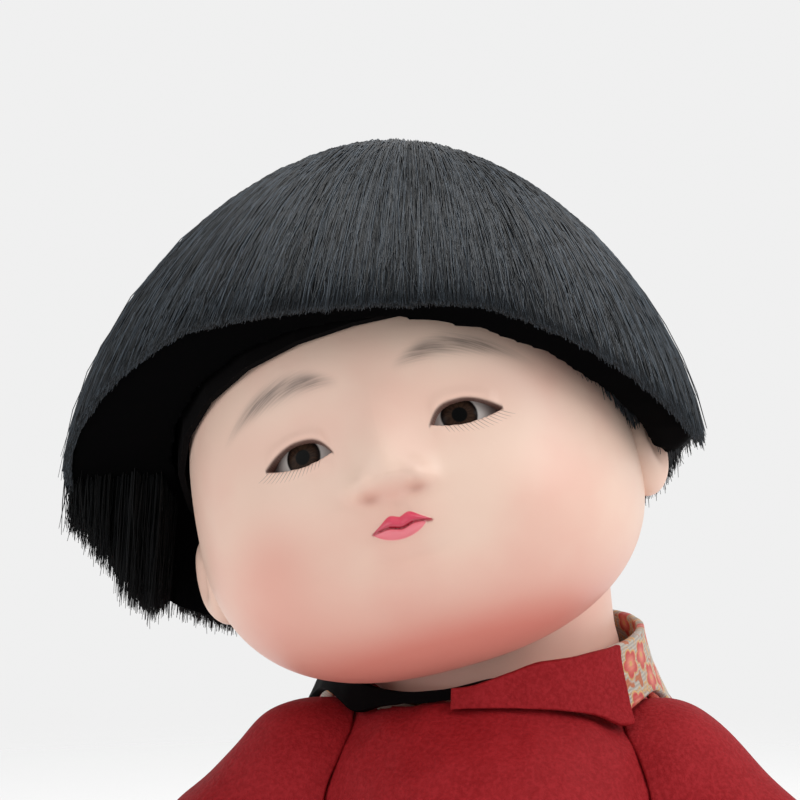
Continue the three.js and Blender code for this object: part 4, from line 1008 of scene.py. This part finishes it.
def crepe_finish(settings):
    """Red silk crepe: a fine crinkle in relief, with a lighter red painted on it as painted highlight."""
    crepe = Finish("red_crepe", roughness=0.7, specular_ior_level=0.12)
    where = crepe.node("ShaderNodeTexCoord", output=3)
    fine = crepe.noise(where, 1150.0, 3.0, 0.6)
    broad = crepe.noise(where, 130.0, 2.0)
    red = tuple(settings.red)
    # Lighter red on the crinkle's raised parts and in broad patches: painted highlight.
    light = (min(1.0, red[0] * 1.5), red[1] * 2.6, red[2] * 2.4)
    colour = (fine.step(0.35, 0.7) * 0.55 + broad.step(0.3, 0.8) * 0.25).mix(red, light)
    crepe.feed(base_color=colour)
    crepe.bump(fine + broad * 0.4, 0.0005, 0.6)
    return crepe


def satin_finish(settings):
    """Black satin with a soft sheen."""
    satin = Finish("black_satin", roughness=0.55, specular_ior_level=0.012)
    satin.feed(base_color=tuple(settings.black))
    where = satin.node("ShaderNodeTexCoord", output=3)
    satin.bump(satin.noise(where, 160.0, 2.0) + satin.noise(where, 2600.0, 2.0) * 0.12, 0.00025, 0.5)
    return satin


def brocade_finish(settings):
    """Silver-grey brocade with five-petalled red flowers in gold outline."""
    cloth = Finish("brocade", roughness=0.45, specular_ior_level=0.5)
    u, v, _ = cloth.place("weave")
    where = cloth.vector(u / FLOWER_STEP, v / FLOWER_STEP)
    inputs = {"Vector": where, "Scale": 1.0, "Randomness": 0.55}
    cells = cloth.node("ShaderNodeTexVoronoi", inputs.items(), voronoi_dimensions="2D")
    tree = cells.socket.node
    middle = cloth.node("ShaderNodeSeparateXYZ", [(0, Value(cloth, tree.outputs["Position"]))]).socket.node
    dx = u / FLOWER_STEP - Value(cloth, middle.outputs[0])
    dy = v / FLOWER_STEP - Value(cloth, middle.outputs[1])
    radius = (dx * dx + dy * dy) ** 0.5
    angle = cloth.node("ShaderNodeMath", enumerate((dy, dx)), operation="ARCTAN2")
    petal = 0.27 + abs((angle * 2.5).wave()) * 0.12
    off = petal - radius
    threads = (u * 14.0).wave() * 0.5 + (v * 9.0).wave() * 0.5
    ground = threads.step(-0.9, 0.9).mix((0.30, 0.27, 0.235), (0.52, 0.475, 0.41))
    scroll = cloth.noise(where, 2.2, 1.0)
    vine = (scroll - 0.5).bell(0.018) * (radius - petal).step(0.02, 0.1)
    leaf = (scroll - 0.61).step(0.0, 0.02) * (radius - petal).step(0.03, 0.12)
    gold, red = (0.60, 0.33, 0.11), tuple(settings.flower)
    colour = leaf.mix(ground, (0.44, 0.13, 0.05))
    colour = vine.mix(colour, gold)
    inner = radius.step(0.05, 0.3).mix((0.68, 0.22, 0.15), red)
    colour = off.step(-0.01, 0.02).mix(colour, inner)
    colour = off.bell(0.022).mix(colour, gold)
    colour = radius.step(0.055, 0.085).mix(gold, colour)
    cloth.feed(base_color=colour, roughness=0.5 - off.bell(0.03) * 0.15)
    cloth.bump(threads * 0.35 + off.step(-0.02, 0.06) * 1.2 + vine, 0.00022, 0.6)
    return cloth


def tailored(node, name, voxel, rounds, folds=0.0, length=16.0):
    """A piece of the robe: the node's own shape in an even, rounded skin with soft unevenness."""
    obj = remeshed(copied(name, node), voxel, rounds)
    if folds:
        uneven(obj, folds, length)
    return thinned(obj, KEPT_CLOTH)


def shell_of(name, rows, thickness, closed):
    """A sheet of cloth with two skins over rows of places, closed round each row or open."""
    rows = np.asarray(rows)
    count, size = rows.shape[:2]
    if closed:
        side = np.roll(rows, -1, 1) - np.roll(rows, 1, 1)
    else:
        side = np.gradient(rows, axis=1)
    out = np.cross(side, np.gradient(rows, axis=0))
    out /= np.maximum(np.linalg.norm(out, axis=2, keepdims=True), 1e-9)
    skins = np.stack([rows + out * thickness / 2, rows - out * thickness / 2])
    index = np.arange(2 * count * size).reshape(2, count, size)
    spans = size if closed else size - 1
    faces = []
    for i in range(count - 1):
        for j in range(spans):
            k = (j + 1) % size
            faces.append((index[0, i, j], index[0, i, k], index[0, i + 1, k], index[0, i + 1, j]))
            faces.append((index[1, i, j], index[1, i + 1, j], index[1, i + 1, k], index[1, i, k]))
    for j in range(spans):
        k = (j + 1) % size
        faces.append((index[0, 0, j], index[1, 0, j], index[1, 0, k], index[0, 0, k]))
        faces.append((index[0, -1, j], index[0, -1, k], index[1, -1, k], index[1, -1, j]))
    if not closed:
        for i in range(count - 1):
            faces.append((index[0, i, 0], index[0, i + 1, 0], index[1, i + 1, 0], index[1, i, 0]))
            faces.append((index[0, i, -1], index[1, i, -1], index[1, i + 1, -1], index[0, i + 1, -1]))
    return built(name, skins.reshape(-1, 3), [tuple(int(v) for v in face) for face in faces])


def tree_of(obj):
    return BVHTree.FromPolygons([v.co for v in obj.data.vertices], [p.vertices for p in obj.data.polygons])


def clearance(tree, point):
    """Distance in millimetres of a place outside a piece's surface, negative within it."""
    near, normal, _, gap = tree.find_nearest(Vector(point) * MM)
    return math.copysign(gap / MM, (Vector(point) * MM - near).dot(normal))


def evened(values, span, choose_end):
    """Values round a ring or along a band, each at least or at most its neighbours', then smoothed."""
    size = len(values)
    around = (np.arange(size)[:, None] + np.arange(-span, span + 1)) % size
    return choose_end(values[around], 1)[around].mean(1)


def sleeve_cloth(side, bodice):
    """A sleeve that hangs from a seam on the bodice and down the arm, fuller at the shoulder."""
    shoulder = np.array(frame["joints"][JOINT_OF_ARM[side]]["pos_m"]) / MM
    way = np.array((side, 1.0, 1.0))
    root, cuff = np.array(SLEEVE_ROOT), np.array(SLEEVE_CUFF)
    drop, lead = np.array(SLEEVE_DROP), np.array(SLEEVE_ROOT) + (SLEEVE_LEAD, 0, 0)
    share = np.linspace(0, 1, 121)[:, None]
    left = 1 - share
    line = left**3 * root + 3 * left**2 * share * lead + 3 * left * share**2 * drop + share**3 * cuff
    ahead = np.gradient(line, axis=0)
    ahead /= np.linalg.norm(ahead, axis=1, keepdims=True)
    first = np.array((0.0, 1.0, 0.0)) - ahead[:, 1:2] * ahead
    first /= np.linalg.norm(first, axis=1, keepdims=True)
    second = np.cross(ahead, first)
    turned = np.linspace(0, 2 * math.pi, SLEEVE_SIDES, endpoint=False)
    folds = SLEEVE_FOLD * np.sin(5 * math.pi * share) * np.minimum(1, 3 * share)
    width = SLEEVE_RADIUS + (CUFF_WIDTH - SLEEVE_RADIUS) * share**2 + folds
    depth = SLEEVE_RADIUS + (CUFF_DEPTH - SLEEVE_RADIUS) * share**2 + folds
    rings = line[:, None] + first[:, None] * (width * np.cos(turned))[..., None]
    rings = rings + second[:, None] * (depth * np.sin(turned))[..., None]
    puff = SLEEVE_PUFF * bell((share[:, 0] - 0.16) / 0.13)[:, None]
    rings[..., 2] += puff * np.maximum(0, rings[..., 2] - line[:, None, 2]) / SLEEVE_RADIUS
    inner = np.linspace(SLEEVE_INWARD, 0.4, 30)[:, None, None] * np.array((-1.0, 0.0, 0.0))
    rings = np.concatenate([rings[:1] + inner, rings]) * way + shoulder * (1, 0, 0)
    tree, last = tree_of(bodice), len(rings) - 1
    start = np.zeros(SLEEVE_SIDES)
    for j in range(SLEEVE_SIDES):
        start[j] = max([i for i in range(90) if abs(clearance(tree, rings[i, j])) < SEAM_GAP] or [0])
    start = np.maximum(0, evened(start, 1, np.median) - 1.5)
    grid = np.linspace(0, 1, SLEEVE_ROWS)
    rows = np.empty((SLEEVE_ROWS, SLEEVE_SIDES, 3))
    for j in range(SLEEVE_SIDES):
        at = start[j] + (last - start[j]) * grid
        for i in range(3):
            rows[:, j, i] = np.interp(at, np.arange(last + 1), rings[:, j, i])
    return shell_of(f"{SIDES[side]}_sleeve_cloth", rows[:, ::side], SLEEVE_CLOTH, True)


def collar_band(name, start, end, layer, rise_over, dip, under, over):
    """A collar band round the neck: its foot on the cloth under it, its edge below the turning jaw."""
    turned = np.radians(np.linspace(start, end, int((end - start) * 0.8) + 2))
    share = np.linspace(0, 1, COLLAR_STEPS + 1)
    rows = []
    for angle in turned:
        top = COLLAR_HEIGHT + rise_over - dip * (1 - math.cos(angle - math.radians(COLLAR_PEAK))) / 2
        radius = COLLAR_TOP + COLLAR_FLARE * (1 - share) ** 1.5 + layer * COLLAR_LAYER
        height = -COLLAR_DROP + (top + COLLAR_DROP) * share
        rows.append(np.stack([radius * math.sin(angle), -radius * math.cos(angle), height], 1))
    rows = np.array(rows)
    placed = rows @ NECK_AXES.T + NECK
    foot, edge = np.zeros(len(rows)), np.full(len(rows), float(COLLAR_STEPS))
    for i, column in enumerate(placed):
        gaps = [min(abs(clearance(tree, place)) for tree in under) for place in column]
        foot[i] = max([k for k, gap in enumerate(gaps) if gap < COLLAR_GAP] or [0])
        swung = [rows[i] @ (NECK_AXES @ turn("Z", way * HEAD_SWING)).T + NECK for way in (-1, 0, 1)]
        gaps = [min(clearance(over, line[k]) for line in swung) for k in range(20, COLLAR_STEPS + 1)]
        edge[i] = min([k for k, gap in enumerate(gaps, 20) if gap < JAW_GAP] or [COLLAR_STEPS])
    around = np.clip(np.arange(len(rows))[:, None] + np.arange(-3, 4), 0, len(rows) - 1)
    foot, edge = foot[around].max(1)[around].mean(1), edge[around].min(1)[around].mean(1)
    foot = np.minimum(foot, edge - 8)
    grid = np.linspace(0, 1, 26)
    bands = []
    for i, column in enumerate(placed):
        at = foot[i] + (edge[i] - foot[i]) * grid
        bands.append(np.stack([np.interp(at, np.arange(len(column)), line) for line in column.T], 1))
    return shell_of(name, bands, COLLAR_CLOTH, False)


def gather_skirt(obj):
    """Draws the skirt's front edge in to the sash, and its lower edge into the padded hem."""
    points, sash = points_of(obj), points_of(frame["nodes"]["sash"])
    sash = sash[sash[:, 1] > sash[:, 1].max() - 1.5]
    middle = np.array((NECK[0], sash[:, 2].mean()))

    def polar(place):
        x, z = place[:, 0] - middle[0], place[:, 2] - middle[1]
        return np.arctan2(x, z), np.hypot(x, z)

    ring_angle, ring_radius = polar(sash)
    grid = np.linspace(-math.pi, math.pi, 73)
    ring = np.array([ring_radius[np.abs(ring_angle - a) < 0.16].max(initial=0) for a in grid])
    ring = np.interp(grid, grid[ring > 0], ring[ring > 0])
    angle, radius = polar(points)
    front = 1 - rise(points[:, 1], points[:, 1].min(), points[:, 1].min() + GATHER_DEPTH)
    share = front * (1 - rise(np.abs(angle), math.radians(95), math.radians(135)))
    skin = radius - np.interp(angle, grid, ring)
    drawn = radius - share * np.maximum(0, skin - GATHER_GAP - 0.9 * (skin > np.median(skin[share > 0.9])))
    scale = drawn / np.maximum(radius, 1e-6)
    points[:, 0] = middle[0] + (points[:, 0] - middle[0]) * scale
    points[:, 2] = middle[1] + (points[:, 2] - middle[1]) * scale
    over = points[:, 2] - HEM_SLOPE * points[:, 1]
    points[:, 2] -= HEM_TUCK * (1 - rise(over, over.min(), over.min() + 3.5))
    move(obj, points)


def round_neck(obj):
    """Along and up a band that stands round the neck."""
    points = (points_of(obj) - NECK) @ NECK_AXES
    return np.stack([np.arctan2(points[:, 0], -points[:, 1]) * 31, points[:, 2], 0 * points[:, 0]], 1)


def round_waist(obj):
    """Along and across a band that goes round the waist."""
    points = points_of(obj)
    middle = points.mean(0)
    angle = np.arctan2(points[:, 0] - NECK[0], points[:, 2] - middle[2])
    return np.stack([angle * 40, points[:, 1], 0 * angle], 1)


class RobeSettings(bpy.types.PropertyGroup):
    """What a user may change on the robe."""

    red: colour_setting("Red", "Colour of the crepe", (0.235, 0.007, 0.010))
    black: colour_setting("Black", "Colour of the satin", (0.0026, 0.0018, 0.002))
    flower: colour_setting("Flower", "Colour of the brocade's flowers", (0.50, 0.05, 0.045))
    pressure: FloatProperty(name="Pressure", description="How hard the filling pushes", default=4.0)
    frames: IntProperty(name="Frames", description="Steps of the filling's push", default=14, min=2)


class DOLL_OT_robe(bpy.types.Operator):
    """Build the bodice, sleeves, lapels, skirt and padded hem"""

    bl_idname = "doll.robe"
    bl_label = "Robe"

    def execute(self, context):
        settings = context.scene.doll_robe
        red, black = crepe_finish(settings), satin_finish(settings)
        bodice = tailored("robe_bodice", "bodice_cloth", 0.8, 8, 0.35, 14.0)
        dressed(bodice, red, "torso", "red_crepe", "robe_bodice")
        skirt = tailored("robe_skirt", "skirt_cloth", 0.8, 10, 0.5, 22.0)
        gather_skirt(skirt)
        dressed(skirt, red, "torso", "red_crepe", "robe_skirt")
        hem = remeshed(copied("hem_roll", "padded_hem"), 1.2, 3)
        plump(hem, settings, 0.6)
        modify(hem, "SUBSURF", levels=1, render_levels=1)
        dressed(hem, black, "torso", "black_satin", "padded_hem")
        for side, name in SIDES.items():
            sleeve = sleeve_cloth(side, bodice)
            uneven(sleeve, 0.35, 15.0)
            thinned(modify(sleeve, "SUBSURF", levels=1, render_levels=1), KEPT_BAND)
            dressed(sleeve, red, None, "red_crepe", f"{name}_sleeve")
            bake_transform(sleeve)
        for side, finish, slot in (("left", red, "red_crepe"), ("right", black, "black_satin")):
            lapel = tailored(f"{side}_lapel", f"{side}_lapel_cloth", 0.45, 8)
            dressed(lapel, finish, "torso", slot, f"{side}_lapel")
        return {"FINISHED"}


class DOLL_OT_collars(bpy.types.Operator):
    """Build the three collar bands round the neck"""

    bl_idname = "doll.collars"
    bl_label = "Collars"

    def execute(self, context):
        settings = context.scene.doll_robe
        cloth = ("bodice_cloth", "left_sleeve_cloth", "right_sleeve_cloth")
        under = [tree_of(bpy.data.objects[name]) for name in cloth]
        jaw = tree_of(bpy.data.objects["head_shell"])
        bands = (
            ("black", satin_finish(settings), "black_satin", (-122, 12, 0, 1.5, 0)),
            ("red", crepe_finish(settings), "red_crepe", (-12, 51, 1, 5.0, 0)),
            ("brocade", brocade_finish(settings), "brocade", (14, 236, 0, 4.0, 10.0)),
        )
        for name, finish, slot, shape in bands:
            band = collar_band(f"{name}_collar_band", *shape, under, jaw)
            uneven(band, 0.12, 9.0)
            thinned(modify(band, "SUBSURF", levels=1, render_levels=1), KEPT_BAND)
            note(band, "weave", round_neck(band))
            dressed(band, finish, "torso", slot, f"{name}_collar")
        return {"FINISHED"}


class DOLL_OT_sash(bpy.types.Operator):
    """Build the brocade sash and its bow"""

    bl_idname = "doll.sash"
    bl_label = "Sash and Bow"

    def execute(self, context):
        brocade = brocade_finish(context.scene.doll_robe)
        sash = tailored("sash", "sash_band", 0.6, 8, 0.15, 12.0)
        note(sash, "weave", round_waist(sash))
        dressed(sash, brocade, "torso", "brocade", "sash")
        for node in ("bow_knot", "left_bow_loop", "right_bow_loop", "left_bow_tail", "right_bow_tail"):
            ribbon = tailored(node, f"{node}_ribbon", 0.4, 8, 0.12, 8.0)
            note(ribbon, "weave", points_of(ribbon))
            dressed(ribbon, brocade, "torso", "brocade", node)
        return {"FINISHED"}


# Frame and stage


class DOLL_OT_frame(bpy.types.Operator):
    """Give the inner pieces of the frame their materials"""

    bl_idname = "doll.frame"
    bl_label = "Inner Pieces"

    def execute(self, context):
        shell = Finish("shell_ground", base_color=(0.80, 0.76, 0.68), roughness=0.55)
        wood = Finish("turned_wood", roughness=0.6)
        x, y, z = wood.place()
        rings = wood.noise(wood.vector(x * 260.0, y * 260.0, z * 30.0), 1.0, 3.0)
        wood.feed(base_color=rings.step(0.3, 0.7).mix((0.36, 0.22, 0.11), (0.52, 0.35, 0.19)))
        putty = Finish("putty", base_color=(0.55, 0.49, 0.40), roughness=0.8)
        wire = Finish("wire", base_color=(0.45, 0.44, 0.42), roughness=0.35, metallic=1.0)
        cap = Finish("cap_cloth", roughness=0.9, specular_ior_level=0.05)
        cap.feed(base_color=(0.003, 0.0026, 0.0028))
        looks = {
            "torso_back_half": (shell, "composition"),
            "torso_belly_half": (shell, "composition"),
            "neck_socket": (wood, "wood"),
            "neck_dowel": (wood, "wood"),
            "left_eye_bed": (putty, "putty"),
            "right_eye_bed": (putty, "putty"),
            "wig_cap": (cap, "cap_cloth"),
        }
        for name, node in frame["nodes"].items():
            if name.endswith(("_axle", "_wire")):
                looks[name] = (wire, "wire")
            if name in looks:
                finish, slot = looks[name]
                node.data.materials.clear()
                node.data.materials.append(finish.material)
        return {"FINISHED"}


class StageSettings(bpy.types.PropertyGroup):
    """What a user may change on the stage."""

    azimuth: FloatProperty(
        name="Azimuth", description="Camera's turn round the doll", default=math.radians(2), subtype="ANGLE"
    )
    elevation: FloatProperty(
        name="Elevation", description="Camera's rise", default=math.radians(4), subtype="ANGLE"
    )
    distance: length_setting("Distance", "Camera's distance from the head", 0.56)
    lens: FloatProperty(name="Lens", description="Focal length in millimetres", default=132.6)
    key_power: FloatProperty(
        name="Key Power", description="Power of the main light", default=3.8, unit="POWER"
    )
    behind: FloatProperty(name="Behind", description="Brightness of the room behind the doll", default=0.87)
    before: FloatProperty(name="Before", description="Brightness of the room before the doll", default=0.52)


def lamp(name, place, target, size, power, colour=(1.0, 1.0, 1.0)):
    """A square soft light that faces a place."""
    light = bpy.data.lights.new(name, "AREA")
    light.size, light.energy, light.color = size, power, colour
    obj = linked(name, light)
    obj.location = place
    obj.rotation_euler = (Vector(target) - Vector(place)).to_track_quat("-Z", "Y").to_euler()


def surround(tree, front, settings):
    """White surroundings: full behind the doll and dimmer on the side that the camera looks from."""
    links, nodes = tree.links, tree.nodes
    way = nodes.new("ShaderNodeTexCoord")
    dot = nodes.new("ShaderNodeVectorMath")
    dot.operation = "DOT_PRODUCT"
    dot.inputs[1].default_value = front
    share = nodes.new("ShaderNodeMapRange")
    share.interpolation_type = "SMOOTHSTEP"
    for socket, value in zip(share.inputs[1:5], (-0.6, 0.7, settings.behind, settings.before)):
        socket.default_value = value
    links.new(way.outputs["Generated"], dot.inputs[0])
    links.new(dot.outputs["Value"], share.inputs[0])
    links.new(share.outputs[0], nodes["Background"].inputs["Strength"])
    nodes["Background"].inputs["Color"].default_value = (1, 1, 1, 1)


class DOLL_OT_stage(bpy.types.Operator):
    """Build the pale floor, soft light and camera"""

    bl_idname = "doll.stage"
    bl_label = "Stage"

    def execute(self, context):
        settings, scene = context.scene.doll_stage, context.scene
        disc = {"vertices": 96, "radius": FLOOR_RADIUS, "fill_type": "NGON"}
        floor = primitive("circle", "floor", location=(0, 0, FLOOR_DROP), **disc)
        pale = Finish("pale_floor", base_color=(0.94, 0.94, 0.94), roughness=0.9, specular_ior_level=0.1)
        x, y, _ = pale.place()
        pale.feed(alpha=((x * x + y * y) ** 0.5).step(FLOOR_RADIUS, FLOOR_RADIUS * 0.45))
        floor.data.materials.append(pale.material)
        world = scene.world or bpy.data.worlds.new("studio")
        scene.world = world
        world.use_nodes = True
        head = Vector(HEAD * MM)
        back = Vector(
            (
                math.sin(settings.azimuth) * math.cos(settings.elevation),
                -math.cos(settings.azimuth) * math.cos(settings.elevation),
                math.sin(settings.elevation),
            )
        )
        surround(world.node_tree, back, settings)
        across = Vector((math.cos(settings.azimuth), math.sin(settings.azimuth), 0))
        up = back.cross(across)
        data = bpy.data.cameras.new("camera")
        data.lens, data.sensor_width = settings.lens, 36.0
        camera = linked("camera", data)
        camera.location = head + back * settings.distance
        aim = head + (across * AIM_ASIDE + up * AIM_UP) * MM
        camera.rotation_mode = "QUATERNION"
        camera.rotation_quaternion = (aim - camera.location).to_track_quat("-Z", "Y")
        scene.camera = camera
        scene.view_settings.view_transform = "Standard"
        power, over = settings.key_power, Vector((0, 0, 0.75))
        lamp("key", head + across * 0.76 + back * 0.38 + up * 0.42, head, 0.6, power)
        lamp("top", head + across * 0.2 - back * 0.02 + over, head, 0.7, power * 0.8)
        lamp("fill", head - across * 0.6 + back * 0.5 + up * 0.15, head, 0.7, power * 0.46)
        return {"FINISHED"}


OPERATORS = (
    DOLL_OT_head,
    DOLL_OT_eyes,
    DOLL_OT_hair,
    DOLL_OT_limbs,
    DOLL_OT_robe,
    DOLL_OT_collars,
    DOLL_OT_sash,
    DOLL_OT_frame,
    DOLL_OT_stage,
)
SETTINGS = {
    "doll_head": HeadSettings,
    "doll_eyes": EyeSettings,
    "doll_hair": HairSettings,
    "doll_robe": RobeSettings,
    "doll_stage": StageSettings,
}


class DOLL_PT_panel(bpy.types.Panel):
    """Lists the doll's pieces and what may be changed"""

    bl_idname = "DOLL_PT_panel"
    bl_label = "Crawling Baby Doll"
    bl_space_type = "VIEW_3D"
    bl_region_type = "UI"
    bl_category = "Doll"

    def draw(self, context):
        for name, group in SETTINGS.items():
            box = self.layout.box()
            for key in group.__annotations__:
                box.prop(getattr(context.scene, name), key)
        for operator in OPERATORS:
            self.layout.operator(operator.bl_idname)


def register():
    for group in SETTINGS.values():
        bpy.utils.register_class(group)
    for operator in OPERATORS:
        bpy.utils.register_class(operator)
    bpy.utils.register_class(DOLL_PT_panel)
    for name, group in SETTINGS.items():
        setattr(bpy.types.Scene, name, PointerProperty(type=group))


def unregister():
    for name in SETTINGS:
        delattr(bpy.types.Scene, name)
    for made in (DOLL_PT_panel, *reversed(OPERATORS), *SETTINGS.values()):
        bpy.utils.unregister_class(made)


def main():
    register()
    for operator in OPERATORS:
        group, call = operator.bl_idname.split(".")
        getattr(getattr(bpy.ops, group), call)()


if __name__ == "__main__":
    main()
